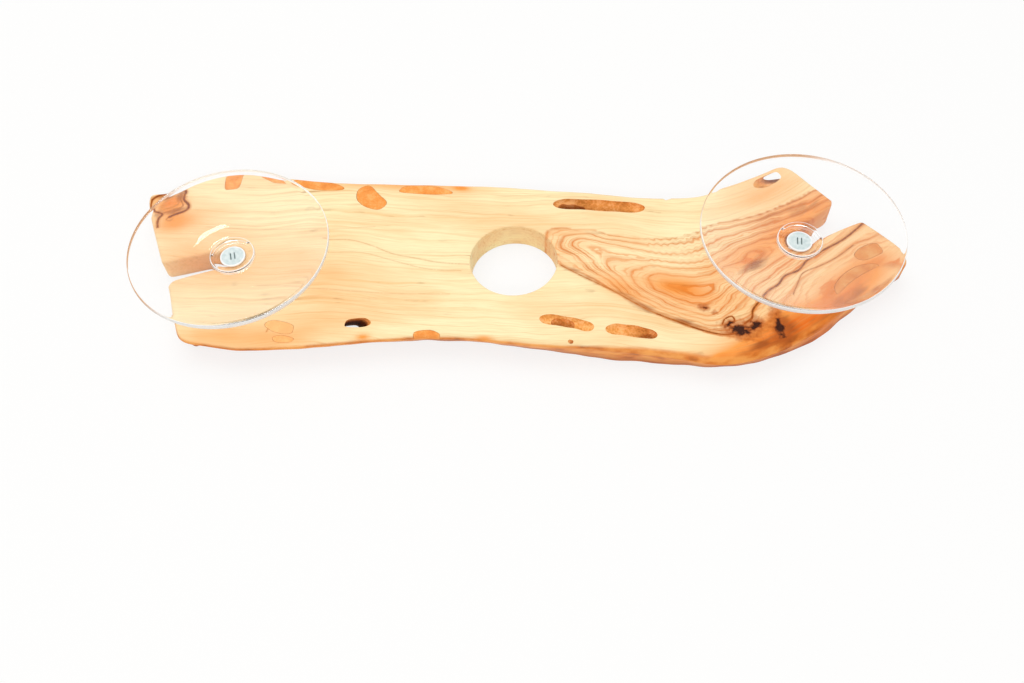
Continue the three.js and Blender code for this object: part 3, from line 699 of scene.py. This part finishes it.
def tunnel_cutter(top, bottom, length, width, angle):
    """A slanting gallery: the outline of its mouth, slid from its place below to its place above, where it
    is half as wide again."""
    share = np.linspace(-0.1, 1.1, 9)
    outline = patch_outline(length, width, 2.6, 0.0, 0.0)
    heights = share * THICKNESS
    rings = stacked_rings(placed(outline, 0, 0, angle), heights, 0.12 * np.sin(9 * share))
    shift = np.array(bottom) + share[:, None] * (np.array(top) - np.array(bottom))
    rings[:, :, :2] = rings[:, :, :2] * (0.65 + 0.35 * share)[:, None, None] + shift[:, None]
    return skin("tunnel cutter", rings)


def patch_slab(patch, grow, low, high):
    """The slab of a patch between two heights, its outline grown by a gap."""
    _, x, y, length, width, angle, square, bow, _ = patch
    outline = placed(patch_outline(length, width, square, bow, grow), x, y, angle)
    return skin("patch slab", stacked_rings(outline, np.array([low, high]), np.zeros(2)))


def vertices_of(piece):
    """A piece's vertices in millimetres, as x, y and z."""
    flat = np.empty(3 * len(piece.data.vertices))
    piece.data.vertices.foreach_get("co", flat)
    return flat.reshape(-1, 3).T / MM


def set_field(piece, name, values):
    """Keeps one number for each vertex, for the material to read."""
    kept = piece.data.attributes.new(name, "FLOAT", "POINT")
    kept.data.foreach_set("value", np.asarray(values, np.float32))


def line_field(x, y):
    """Darkness of the dark lines at each place: each line fades as exp(-(d / w)^2) with the distance d."""
    darkest = np.zeros(len(x))
    for half_width, darkness, points in VEINS:
        path, _ = vein_path(points)
        low, high = path.min(axis=0) - VEIN_REACH, path.max(axis=0) + VEIN_REACH
        near = np.flatnonzero((x > low[0]) & (x < high[0]) & (y > low[1]) & (y < high[1]))
        gap = np.hypot(x[near, None] - path[:, 0], y[near, None] - path[:, 1]).min(axis=1)
        darkest[near] = np.maximum(darkest[near], darkness * np.exp(-((gap / half_width) ** 2)))
    return darkest


def growth_field(x, y):
    """Ring number at each place: the thin plate a + bx + cy + sum of w r^2 ln r, bent through the growth
    lines."""
    known = np.array([(*point, number) for number, points in GROWTH_LINES for point in points], float)

    def bend(ax, ay):
        squared = (ax[:, None] - known[:, 0]) ** 2 + (ay[:, None] - known[:, 1]) ** 2
        return 0.5 * squared * np.log(squared + 1e-9)

    plane = np.column_stack([np.ones(len(known)), known[:, :2]])
    stiff = bend(known[:, 0], known[:, 1]) + GROWTH_SLACK * np.eye(len(known))
    system = np.block([[stiff, plane], [plane.T, np.zeros((3, 3))]])
    weights = np.linalg.solve(system, np.concatenate([known[:, 2], np.zeros(3)]))
    return bend(x, y) @ weights[:-3] + np.column_stack([np.ones(len(x)), x, y]) @ weights[-3:]


def turned_offsets(x, y, middle_x, middle_y, angle):
    """x and y from a middle, along and across a direction."""
    turn = math.radians(angle)
    dx, dy = x - middle_x, y - middle_y
    return dx * math.cos(turn) + dy * math.sin(turn), dy * math.cos(turn) - dx * math.sin(turn)


def area_field(x, y, areas):
    """Sum of soft spots, each its strength times exp(-(along / a)^2 - (across / b)^2)."""
    total = np.zeros(len(x))
    for middle_x, middle_y, length, width, angle, strength in areas:
        along, across = turned_offsets(x, y, middle_x, middle_y, angle)
        total = total + strength * np.exp(-((along / length) ** 2) - (across / width) ** 2)
    return total


def paint_grain(piece):
    """The fields of the wood's figure: ring numbers and rings per millimetre, heartwood, fiddleback, knots,
    warmth, smears, dark lines, the fibres' own coordinates and the natural edge, which runs on over the
    rounded rim as painted shade."""
    x, y, z = vertices_of(piece)
    rings = growth_field(x, y)
    step = 0.2
    slope_x = (growth_field(x + step, y) - rings) / step
    slope_y = (growth_field(x, y + step) - rings) / step
    knots = np.full(len(x), 9.0)
    for middle_x, middle_y, length, width, angle in KNOTS:
        along, across = turned_offsets(x, y, middle_x, middle_y, angle)
        knots = np.minimum(knots, np.hypot(along / length, across / width))
    off_fibre = y - follow(x, FIBRES)
    far_prong = ease(x, 86, 102) * ease(off_fibre, -14, -4)
    heart = ease(rings, -0.12, 0.08) * ease(x, 2, 14) * (1 + 0.9 * far_prong)
    warm = 0.1 * heart + 0.14 * ease(x, 62, 96) + area_field(x, y, WARM_AREAS)
    gaps = np.hypot(x[:, None].astype(np.float32) - rim[:, 0], y[:, None].astype(np.float32) - rim[:, 1])
    nearest = gaps.argmin(axis=1)
    # the natural edge's mask reaches up over the rounded rim to just under the top; there its brown is
    # painted shade
    on_side = gaps.min(axis=1) < side_inset(z, rim[nearest, 2]) + SOFT_ROUND * ease(z, 7, 9) + 1.2
    below_top = 1 - ease(z, THICKNESS - 1.0, THICKNESS - 0.05)
    fields = {
        "rings": rings,
        "ring_step": np.clip(np.hypot(slope_x, slope_y), 0.06, 1.2),
        "heart": heart,
        "fiddleback": ease(x, 48, 53) * (1 - ease(x, 73, 80)) * ease(y, -12, 2),
        "knot": knots,
        "warmth": np.clip(warm, 0, 2),
        "smear": np.clip(area_field(x, y, SMEARS), 0, 1),
        "vein": line_field(x, y),
        "along": x,
        "across": off_fibre,
        "live_edge_and_rim_shade": on_side * rim_natural[nearest] * below_top,
    }
    for name in FIELDS:
        set_field(piece, name, fields[name])


def olive_wood():
    """Sanded olive wood under a thin oil: pale cream sapwood with faint streaks, an orange heart with nested
    dark rings, near-black knots and a browner natural edge, which over the rounded rim is painted shade. Oil
    gives it a soft sheen and no mirror."""
    material, node = new_material("sanded olive wood")
    place = node("TexCoord", out="Object")
    field = {name: node("Attribute", out="Fac", attribute_name=name) for name in FIELDS}
    heart, ring_step = field["heart"], field["ring_step"]
    straight, _, depth = node("SeparateXYZ", {0: place}).node.outputs
    depth = node("Math", {0: depth, 1: PER_MM}, operation="MULTIPLY")
    fibre = node("CombineXYZ", {0: field["along"], 1: field["across"], 2: depth})

    # noises drawn out along the fibres, among them a slow wander of the rings and a shorter sway, and a
    # finer tremble about 2 mm long
    noise = {}
    for name, (size, detail) in NOISES.items():
        scales = tuple(1 / length for length in size)
        drawn = node("VectorMath", {0: fibre, 1: scales}, operation="MULTIPLY")
        noise[name] = node("TexNoise", {"Vector": drawn, "Scale": 1.0, "Detail": detail}, "Fac")
    wander, sway, pores = noise["wander"], noise["sway"], noise["pores"]
    tremble = node("TexNoise", {"Vector": place, "Scale": PER_MM / 2.2, "Detail": 3.0}, "Fac")

    # fiddleback: a ripple across the fibres, 2.8 mm from crest to crest
    crests = node("Math", {0: straight, 1: 2 * math.pi * PER_MM / 2.8}, operation="MULTIPLY")
    crests = node("Math", {0: sway, 1: 9.0, 2: crests}, operation="MULTIPLY_ADD")
    wave = node("Math", {0: crests}, operation="SINE")
    ripple = node("Math", {0: wave, 1: field["fiddleback"]}, operation="MULTIPLY")

    # the rings moved by up to 2.2 mm of wander, 0.9 mm of sway and 0.3 mm of ripple
    shift = -2.2 - 0.9
    for part, reach in ((wander, 2 * 2.2), (sway, 2 * 0.9), (ripple, 0.3)):
        shift = node("Math", {0: part, 1: reach, 2: shift}, operation="MULTIPLY_ADD")
    phase = node("Math", {0: shift, 1: ring_step, 2: field["rings"]}, operation="MULTIPLY_ADD")

    # a dark line on each ring, 0.4 to 1.6 mm from its middle to its edge, fainter on the inner rings and
    # fading here and there
    number = node("Math", {0: phase, 1: 0.5}, operation="ADD")
    number = node("Math", {0: number}, operation="FLOOR")
    off_line = node("Math", {0: phase, 1: number}, operation="SUBTRACT")
    off_line = node("Math", {0: off_line}, operation="ABSOLUTE")
    breadth = node("MapRange", {0: wander, 1: 0.36, 2: 0.62, 3: 0.5, 4: 2.0})
    for unit in (ring_step, breadth):
        off_line = node("Math", {0: off_line, 1: unit}, operation="DIVIDE")
    line = node("MapRange", {0: off_line, 2: 0.8, 3: 1.0, 4: 0.0})
    weight = node("MapRange", {0: number, 2: 2.0, 3: 1.0, 4: 0.35})
    fade = node("MapRange", {0: noise["fade"], 1: 0.35, 2: 0.62, 3: 0.15, 4: 1.0})
    line_fade = node("MapRange", {0: fade, 1: 0.2, 2: 1.0, 3: 0.1, 4: 1.0})
    for factor in (weight, line_fade, heart):
        line = node("Math", {0: line, 1: factor}, operation="MULTIPLY", use_clamp=True)

    # between the lines each ring deepens inwards, with finer bands three to a ring
    band = node("Math", {0: phase}, operation="FRACT")
    band_stops = ((0.0, 0.75), (0.12, 0.35), (0.4, 0.0), (0.8, 0.12), (1.0, 0.5))
    band = node("ValToRGB", {0: band}, stops=band_stops)
    fine = node("Math", {0: phase, 1: 3.0}, operation="MULTIPLY")
    fine = node("Math", {0: sway, 1: 1.2, 2: fine}, operation="MULTIPLY_ADD")
    fine = node("Math", {0: fine}, operation="FRACT")
    fine_stops = ((0.0, 0.0), (0.55, 0.0), (0.8, 0.7), (0.9, 0.7), (1.0, 0.0))
    fine = node("ValToRGB", {0: fine}, stops=fine_stops)
    fine = node("Math", {0: fine, 1: fade}, operation="MULTIPLY")
    band = node("Math", {0: fine, 1: 0.9, 2: band}, operation="MULTIPLY_ADD")
    band = node("Math", {0: band, 1: heart}, operation="MULTIPLY", use_clamp=True)

    # sapwood streaks about 1.5 mm wide and 90 mm long, and hair lines of 0.6 mm
    bent = node("VectorMath", {0: fibre, 1: (1 / 90, 1 / 1.5, 1 / 3)}, operation="MULTIPLY")
    drift = node("CombineXYZ", {1: wander})
    drift = node("VectorMath", {0: drift, 1: (0, 4.0, 0), 2: bent}, operation="MULTIPLY_ADD")
    rough = {"Scale": 1.0, "Roughness": 0.6}
    streak = node("TexNoise", {"Vector": drift, "Detail": 3.0, **rough}, "Fac")
    streak = node("ValToRGB", {0: streak}, stops=((0.46, 0.0), (0.6, 0.4), (0.74, 1.0)))
    thin = node("VectorMath", {0: drift, 1: (1.4, 2.6, 1.5)}, operation="MULTIPLY")
    hair = node("TexNoise", {"Vector": thin, "Detail": 2.0, **rough}, "Fac")
    hair = node("MapRange", {0: hair, 1: 0.54, 2: 0.7})

    # brown smears, broken up along the fibres
    smear = node("Math", {0: sway, 1: 1.4, 2: field["smear"]}, operation="MULTIPLY_ADD")
    smear = node("Math", {0: streak, 1: 0.35, 2: smear}, operation="MULTIPLY_ADD")
    smear = node("MapRange", {0: smear, 1: 1.05, 2: 1.75})

    # natural edge: orange-tan with brown patches about 9 mm long and 4 mm high, and browner low down; over
    # the rounded rim the same brown is painted shade
    edge_stops = ((0.42, "#F6A24E"), (0.58, "#DE7A28"), (0.72, "#9A4A10"))
    edge_and_shade_tone = node("ValToRGB", {0: noise["edge"]}, stops=edge_stops)
    low = node("MapRange", {0: depth, 1: 6.0, 2: 1.5, 4: 0.7})
    edge_and_shade_tone = node("Mix", {0: low, 6: edge_and_shade_tone, 7: "#B4540C"}, 2, data_type="RGBA")

    # dark lines, and knots with a ragged edge and a reddish halo
    vein = node("MapRange", {0: tremble, 1: 0.3, 2: 0.6, 3: 0.7, 4: 1.1})
    vein = node("Math", {0: vein, 1: field["vein"]}, operation="MULTIPLY", use_clamp=True)
    vein_tan = node("MapRange", {0: vein, 2: 0.6})
    vein_dark = node("MapRange", {0: vein, 1: 0.35, 2: 0.95})
    knot = node("Math", {0: tremble, 1: 2.6, 2: field["knot"]}, operation="MULTIPLY_ADD")
    halo = node("MapRange", {0: knot, 1: 2.1, 2: 3.6, 3: 1.0, 4: 0.0})
    core = node("MapRange", {0: knot, 1: 1.8, 2: 2.35, 3: 1.0, 4: 0.0})

    # sapwood and heartwood, clouded over patches 45 by 16 mm, with the rest laid over them in turn
    cloud = node("MapRange", {0: noise["clouds"], 1: 0.38, 2: 0.68, 3: -0.08, 4: 0.3})
    warmth = node("Math", {0: field["warmth"], 1: cloud}, operation="ADD")
    warmth = node("Math", {0: warmth, 1: 0.5}, operation="MULTIPLY", use_clamp=True)
    warm_stops = ((0.0, "#FFF1C0"), (0.5, "#FCA04A"), (1.0, "#E66A12"))
    body = node("ValToRGB", {0: warmth}, stops=warm_stops)
    pore = node("MapRange", {0: pores, 1: 0.4, 2: 0.75})
    layers = (
        (streak, 0.42, "#F0B268"),
        (hair, 0.3, "#DC9A50"),
        (band, 0.85, "#EA7E24"),
        (line, 0.66, "#BC6218"),
        (pore, 0.16, "#CE8A48"),
        (smear, 0.75, "#8A3E0E"),
        # the natural edge's tone, painted shade where it runs over the rounded rim
        (field["live_edge_and_rim_shade"], 0.92, edge_and_shade_tone),
        (vein_tan, 1.0, "#CC7426"),
        (vein_dark, 0.9, "#6C2806"),
        (halo, 0.95, "#B4581A"),
        (core, 0.98, "#341206"),
    )
    for part, share, colour in layers:
        part = node("Math", {0: part, 1: share}, operation="MULTIPLY")
        body = node("Mix", {0: part, 6: body, 7: colour}, 2, data_type="RGBA")

    height = node("Math", {0: core, 1: -2.0 * 0.98, 2: pores}, operation="MULTIPLY_ADD")
    bump = node("Bump", {"Strength": 0.2, "Distance": 0.06 * MM, "Height": height})
    sheen = node("MapRange", {0: pores, 1: 0.3, 2: 0.7, 3: 0.44, 4: 0.56})
    oiled = {"Roughness": sheen, "IOR": 1.47, "Specular IOR Level": 0.2}
    shader = node("BsdfPrincipled", {"Base Color": body, "Normal": bump, **oiled})
    node("OutputMaterial", {0: shader})
    return material


def speckled(node, grain, cloud_size, share, stops):
    """A noise in grains of a size in millimetres, and the colours it gives on slower clouds."""
    place = node("TexCoord", out="Object")
    speckle = node("TexNoise", {"Vector": place, "Scale": PER_MM / grain, "Detail": 3.0}, "Fac")
    cloud = node("TexNoise", {"Vector": place, "Scale": PER_MM / cloud_size, "Detail": 2.0}, "Fac")
    tone = node("Math", {0: speckle, 1: share, 2: cloud}, operation="MULTIPLY_ADD")
    return place, speckle, node("ValToRGB", {0: tone}, stops=stops)


def gallery_wall():
    """The eaten wall of an open gallery: brown, with painted shade darkening it with depth, matt and gnawed
    in grains of about 0.8 mm."""
    material, node = new_material("gnawed olive wood")
    stops = ((0.55, "#C87E32"), (0.8, "#F0A654"), (0.95, "#FFC27C"))
    place, gnawed, colour = speckled(node, 0.8, 5.0, 0.7, stops)
    height = node("SeparateXYZ", {0: place}, 2)
    # painted shade: the wall is painted darker towards the bottom of the gallery
    painted_depth_shade = node("MapRange", {0: height, 1: 8.8 * MM, 2: 6.0 * MM, 4: 0.85})
    colour = node("Mix", {0: painted_depth_shade, 6: colour, 7: "#7A3406"}, 2, data_type="RGBA")
    bump = node("Bump", {"Strength": 0.5, "Distance": 0.2 * MM, "Height": gnawed})
    matt = {"Roughness": 0.8, "IOR": 1.45}
    shader = node("BsdfPrincipled", {"Base Color": colour, "Normal": bump, **matt})
    node("OutputMaterial", {0: shader})
    return material


def wood_dust():
    """Wood dust in glue, sanded flush: an even orange-brown, speckled in grains of about 0.6 mm, with a
    darker glue tone in some patches and a paler one in the faded ones."""
    material, node = new_material("wood dust filler")
    stops = ((0.5, "#EA8630"), (0.8, "#FA9C42"), (1.0, "#FFB464"))
    _, speckle, colour = speckled(node, 0.6, 4.0, 0.6, stops)
    for name, tone in (("faded", "#FFCE8E"), ("glue_line", "#8A4A20")):
        share = node("Attribute", out="Fac", attribute_name=name)
        colour = node("Mix", {0: share, 6: colour, 7: tone}, 2, data_type="RGBA")
    bump = node("Bump", {"Strength": 0.2, "Distance": 0.08 * MM, "Height": speckle})
    sanded = {"Roughness": 0.55, "IOR": 1.47}
    shader = node("BsdfPrincipled", {"Base Color": colour, "Normal": bump, **sanded})
    node("OutputMaterial", {0: shader})
    return material


def lit_through(node, shader):
    """The shader, with light on its way to what lies under the glass passing straight through."""
    through = node("BsdfTransparent", {0: "#FFFFFF"})
    path = node("LightPath").node.outputs
    rays = {0: path["Is Shadow Ray"], 1: path["Is Diffuse Ray"]}
    straight = node("Math", rays, operation="MAXIMUM")
    return node("MixShader", {0: straight, 1: shader, 2: through})


def clear_glass():
    """Clear, polished foot: no colour of its own, seen by its edge, its hub and its highlights."""
    material, node = new_material("clear polished glass")
    polished = {"Roughness": 0.01, "IOR": 1.49, "Transmission Weight": 1.0}
    glass = node("BsdfPrincipled", {"Base Color": "#FFFFFF", **polished})
    node("OutputMaterial", {0: lit_through(node, glass)})
    return material


def frosted_edge_with_painted_light():
    """The ground edge of the foot: it scatters the light that the clear part carries, so it shows as a milky
    band. On one stretch the wood's colour is painted on in tan, a painted refraction; on the hub's ring it
    is a painted highlight."""
    material, node = new_material("ground glass edge with painted tan and glint")
    # painted refraction: the wood's tan is painted onto one stretch of the rim
    tan = node("Attribute", out="Fac", attribute_name="painted_tan_refraction")
    colour = node("Mix", {0: tan, 6: "#FFFEFC", 7: "#DDA878"}, 2, data_type="RGBA")
    ground = {"Roughness": 0.3, "IOR": 1.49, "Transmission Weight": 0.2}
    frost_with_painted_light = node("BsdfPrincipled", {"Base Color": colour, **ground})
    node("OutputMaterial", {0: lit_through(node, frost_with_painted_light)})
    return material


def pale_stem():
    """Moulded pale plastic of the stem: a cool near-white with a satin surface, a painted highlight round
    its end face and painted shade in the slits."""
    material, node = new_material("pale moulded plastic")
    place = node("TexCoord", out="Object")
    cloud = node("TexNoise", {"Vector": place, "Scale": PER_MM / 1.5, "Detail": 2.0}, "Fac")
    colour = node("ValToRGB", {0: cloud}, stops=((0.3, "#C6D6D6"), (0.7, "#E2EBEA")))
    # a painted highlight on the lip round the end face, and painted shade in the slits
    for name, tone in (("lip_highlight", "#FCFDFD"), ("slit", "#6E8080")):
        share = node("Attribute", out="Fac", attribute_name=name)
        colour = node("Mix", {0: share, 6: colour, 7: tone}, 2, data_type="RGBA")
    shader = node("BsdfPrincipled", {"Base Color": colour, "Roughness": 0.35, "IOR": 1.49})
    node("OutputMaterial", {0: shader})
    return material


def seen_white(node):
    """1 for the rays that show the surroundings: the camera's own, those from gloss and those through
    glass."""
    path = node("LightPath").node.outputs
    seen = path["Is Camera Ray"]
    for other in (path["Is Glossy Ray"], path["Is Transmission Ray"]):
        seen = node("Math", {0: seen, 1: other}, operation="ADD", use_clamp=True)
    return seen


def pale_floor():
    """A matt white sweep. To the camera, and in what gloss and glass show, it is lifted towards white."""
    material, node = new_material("matt white floor")
    matt = node("BsdfPrincipled", {"Base Color": "#F4F3F0", "Roughness": 0.9})
    white = node("Emission", {0: "#FFFFFF", 1: 1.0})
    lift = node("Math", {0: seen_white(node), 1: 0.8}, operation="MULTIPLY")
    mixed = node("MixShader", {0: lift, 1: matt, 2: white})
    node("OutputMaterial", {0: mixed})
    return material


# Board
board = board_blank("olive_board")
patch_pieces = []
for patch in PATCHES:
    piece = patch_slab(patch, 0.0, THICKNESS - PATCH_DEPTH, THICKNESS + CUT)
    piece.name = patch[0].replace("fill", "patch")
    blank = bpy.data.objects.new("blank", board.data)
    bpy.context.scene.collection.objects.link(blank)
    carve(piece, [blank], "INTERSECT")
    patch_pieces.append(piece)
cuts = [bore_cutter(), slot_cutter(LEFT_SLOT), slot_cutter(RIGHT_SLOT)]
pocket_floor = THICKNESS - PATCH_DEPTH - PATCH_GAP
cuts += [patch_slab(patch, PATCH_GAP, pocket_floor, THICKNESS + CUT) for patch in PATCHES]
eaten = [gallery_cutter(*gallery) for gallery in GALLERIES] + [tunnel_cutter(*tunnel) for tunnel in TUNNELS]
wood, wall = olive_wood(), gallery_wall()
for piece in [board] + eaten:
    piece.data.materials.append(wood)
    piece.data.materials.append(wall)
for piece in eaten:
    piece.data.polygons.foreach_set("material_index", np.ones(len(piece.data.polygons), np.int32))
carve(board, cuts + eaten)
paint_grain(board)
shade(board, WOOD_CREASE)
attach(board, "board")
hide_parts("board")

dust = wood_dust()
for piece, (node, *_, dark) in zip(patch_pieces, PATCHES):
    count = len(piece.data.vertices)
    set_field(piece, "glue_line", np.full(count, 0.25 * max(dark, 0)))
    set_field(piece, "faded", np.full(count, max(-dark, 0)))
    piece.data.materials.clear()
    piece.data.materials.append(dust)
    shade(piece, WOOD_CREASE)
    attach(piece, "board")
    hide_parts(node)

# Glasses
glass, frost_with_painted_light, plastic = clear_glass(), frosted_edge_with_painted_light(), pale_stem()
foot_top = FOOT_RISE + FOOT_EDGE
foot_base = THICKNESS + SEAT_GAP
dish_floor = foot_top - FOOT_DISH
edge_start = FOOT_RADIUS - EDGE_IN
under_corners = [(HUB_HOLE, 0.0, 0), (HUB_RADIUS, 0.0, 0.3), (HUB_RADIUS, HUB_BASE, 0)]
under = parabola((HUB_RADIUS, HUB_BASE), (FOOT_BEND, HUB_BASE), (edge_start, FOOT_RISE))
edge_corners = [
    (edge_start, FOOT_RISE, 0),
    (FOOT_RADIUS, FOOT_RISE, EDGE_ROUND),
    (FOOT_RADIUS, foot_top, EDGE_ROUND),
    (edge_start, foot_top, 0),
]
over_bend = (FOOT_BEND - HUB_FILLET, dish_floor + HUB_FILLET)
over = parabola((edge_start, foot_top), over_bend, (HUB_RADIUS + HUB_FILLET, dish_floor))
hub_corners = [
    (HUB_RADIUS + HUB_FILLET, dish_floor, 0),
    (HUB_RADIUS, dish_floor, 0.7),
    (HUB_RADIUS, HUB_HEIGHT, 0.4),
    (HUB_RADIUS - HUB_RING, HUB_HEIGHT, 0.4),
    (HUB_RADIUS - HUB_RING - HUB_WALL, HUB_FLOOR, 0.9),
    (HUB_HOLE, HUB_FLOOR, 0.05),
    (HUB_HOLE, 0.0, 0),
]
hub_below, edge, hub = (eased_profile(corners) for corners in (under_corners, edge_corners, hub_corners))
foot_profile = np.vstack([hub_below, under[:-1], edge, over[:-1], hub])
stem_corners = [
    (0.0, STEM_BASE, 0),
    (STEM_RADIUS, STEM_BASE, 1.2),
    (STEM_RADIUS, THICKNESS, 0.2),
    (PIN_RADIUS, THICKNESS, 0.1),
    (PIN_RADIUS, PIN_TOP, 0.05),
    (0.0, PIN_TOP, 0),
]
cap_corners = [
    (0.0, CAP_BASE + CAP_RECESS, 0),
    (PIN_RADIUS + PIN_GAP, CAP_BASE + CAP_RECESS, 0.02),
    (PIN_RADIUS + PIN_GAP, CAP_BASE, 0.02),
    (CAP_RADIUS, CAP_BASE, 0.1),
    (CAP_RADIUS, CAP_TOP, 0.2),
    (CAP_FACE * CAP_RADIUS, CAP_TOP, 0.02),
    (0.0, CAP_TOP, 0),
]
for side, slot in (("left", LEFT_SLOT), ("right", RIGHT_SLOT)):
    foot = turned(f"{side}_clear_foot", foot_profile, (slot["x"], SEAT, foot_base))
    foot.data.materials.append(glass)
    foot.data.materials.append(frost_with_painted_light)
    middles = np.empty(3 * len(foot.data.polygons))
    foot.data.polygons.foreach_get("center", middles)
    from_axis = np.hypot(*((middles.reshape(-1, 3)[:, :2] / MM - (slot["x"], SEAT)).T))
    # painted highlight: a thin line on top of the hub's ring takes the whitish ground material
    painted_ring_glint = np.abs(from_axis - HUB_RADIUS + RING_GLINT_IN) < RING_GLINT_HALF
    painted_ring_glint &= middles[2::3] / MM > foot_base + RING_GLINT_BASE
    ground = ((from_axis > FOOT_RADIUS - FROST_WIDTH) | painted_ring_glint).astype(np.int32)
    foot.data.polygons.foreach_set("material_index", ground)
    x, y, _ = vertices_of(foot)
    # the stretch of rim facing the board's end gets the wood's tan painted on: a painted refraction
    towards, _ = turned_offsets(x, y, slot["x"], SEAT, slot["painted_tan_refraction"])
    set_field(foot, "painted_tan_refraction", ease(towards, PAINTED_TAN_START, PAINTED_TAN_END))
    shade(foot, GLASS_CREASE)
    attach(foot, f"{side}_foot")
    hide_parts(f"{side}_glass_foot")

    stem = turned(f"{side}_pale_stem", eased_profile(stem_corners), (slot["x"], SEAT, 0.0))
    cap = turned(f"{side}_pale_cap", eased_profile(cap_corners), (slot["x"], SEAT, 0.0))
    slits = []
    for apart in (-SLIT_APART / 2, SLIT_APART / 2):
        slit = patch_outline(SLIT_LENGTH, SLIT_WIDTH, 4.0, 0.0, 0.0) + (0.0, apart)
        outline = placed(slit, slot["x"], SEAT, slot["slits"])
        rings = stacked_rings(outline, [CAP_TOP - SLIT_DEPTH, CAP_TOP + CUT], [0, 0])
        slits.append(skin("slit cutter", rings))
    carve(cap, slits)
    x, y, z = vertices_of(cap)
    from_axis = np.hypot(x - slot["x"], y - SEAT) / CAP_RADIUS
    # painted highlight: the lip round the cap's end face is painted whiter
    set_field(cap, "lip_highlight", ease(from_axis, CAP_FACE, 0.95))
    # painted shade: the slits' walls and floors are painted grey
    set_field(cap, "slit", (from_axis < 0.8) * (z < CAP_TOP - 0.1))
    for piece, node in ((stem, "stem"), (cap, "cap")):
        piece.data.materials.clear()
        piece.data.materials.append(plastic)
        shade(piece, GLASS_CREASE)
        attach(piece, f"{side}_stem")
        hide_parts(f"{side}_glass_{node}")

# Floor
FLOOR_HALF = 4000.0
corners = np.array([(-1, -1, 0), (1, -1, 0), (1, 1, 0), (-1, 1, 0)]) * FLOOR_HALF - (0, 0, 0.2)
floor = new_object("floor", corners, [[0, 1, 2, 3]])
floor.data.materials.append(pale_floor())


def lamp(name, place, target, size, watts, mirrored):
    """A soft box at a place, turned towards a target, all in metres, and whether glass and gloss show it."""
    light = bpy.data.lights.new(name, "AREA")
    light.shape = "RECTANGLE"
    light.size, light.size_y = size
    light.energy = watts
    made = bpy.data.objects.new(name, light)
    made.location = place
    made.rotation_euler = (Vector(target) - Vector(place)).to_track_quat("-Z", "Y").to_euler()
    made.visible_glossy = mirrored
    made.visible_transmission = mirrored
    bpy.context.scene.collection.objects.link(made)


def studio_world():
    """Even white surroundings at a low level, which the camera, gloss and glass see as white."""
    world = bpy.data.worlds.new("studio")
    world.use_nodes = True
    world.node_tree.nodes.clear()
    node = partial(add_node, world.node_tree)
    level = node("MapRange", {0: seen_white(node), 3: 0.6, 4: 1.0})
    glow = node("Background", {0: "#FFFEFC", 1: level})
    node("OutputWorld", {0: glow})
    return world


# Light
lamp("overhead soft box", (-0.15, 0.3, 1.0), (0, 0, 0), (1.2, 0.9), 5.2, False)
lamp("front strip", (0, -0.71, 0.63), (0, 0, 0), (1.0, 0.08), 2.0, True)
lamp("small window", (-0.325, 0.55, 0.82), (-0.11, 0, 0), (0.05, 0.06), 0.12, True)
bpy.context.scene.world = studio_world()

# Camera, fitted to the photograph
CAMERA_PLACE = Vector((8.044, -260.548, 340.432)) * MM
FOCAL_PIXELS = 1106.93
IMAGE_WIDTH = 1024
YAW, PITCH, ROLL = (math.radians(a) for a in (-2.310, 55.859, -3.324))
ahead = Vector((math.sin(YAW) * math.cos(PITCH), math.cos(YAW) * math.cos(PITCH), -math.sin(PITCH)))
level = Vector((math.cos(YAW), -math.sin(YAW), 0))
upright = level.cross(ahead)
right = math.cos(ROLL) * level + math.sin(ROLL) * upright
up = math.cos(ROLL) * upright - math.sin(ROLL) * level
camera = bpy.data.objects.new("camera", bpy.data.cameras.new("camera"))
camera.data.sensor_fit = "HORIZONTAL"
camera.data.sensor_width = 36.0
camera.data.lens = FOCAL_PIXELS * camera.data.sensor_width / IMAGE_WIDTH
camera.data.clip_start = 0.01
turn = Matrix((right, up, -ahead)).transposed().to_4x4()
camera.matrix_world = Matrix.Translation(CAMERA_PLACE) @ turn
bpy.context.scene.collection.objects.link(camera)
bpy.context.scene.camera = camera
bpy.context.scene.view_settings.view_transform = "Standard"
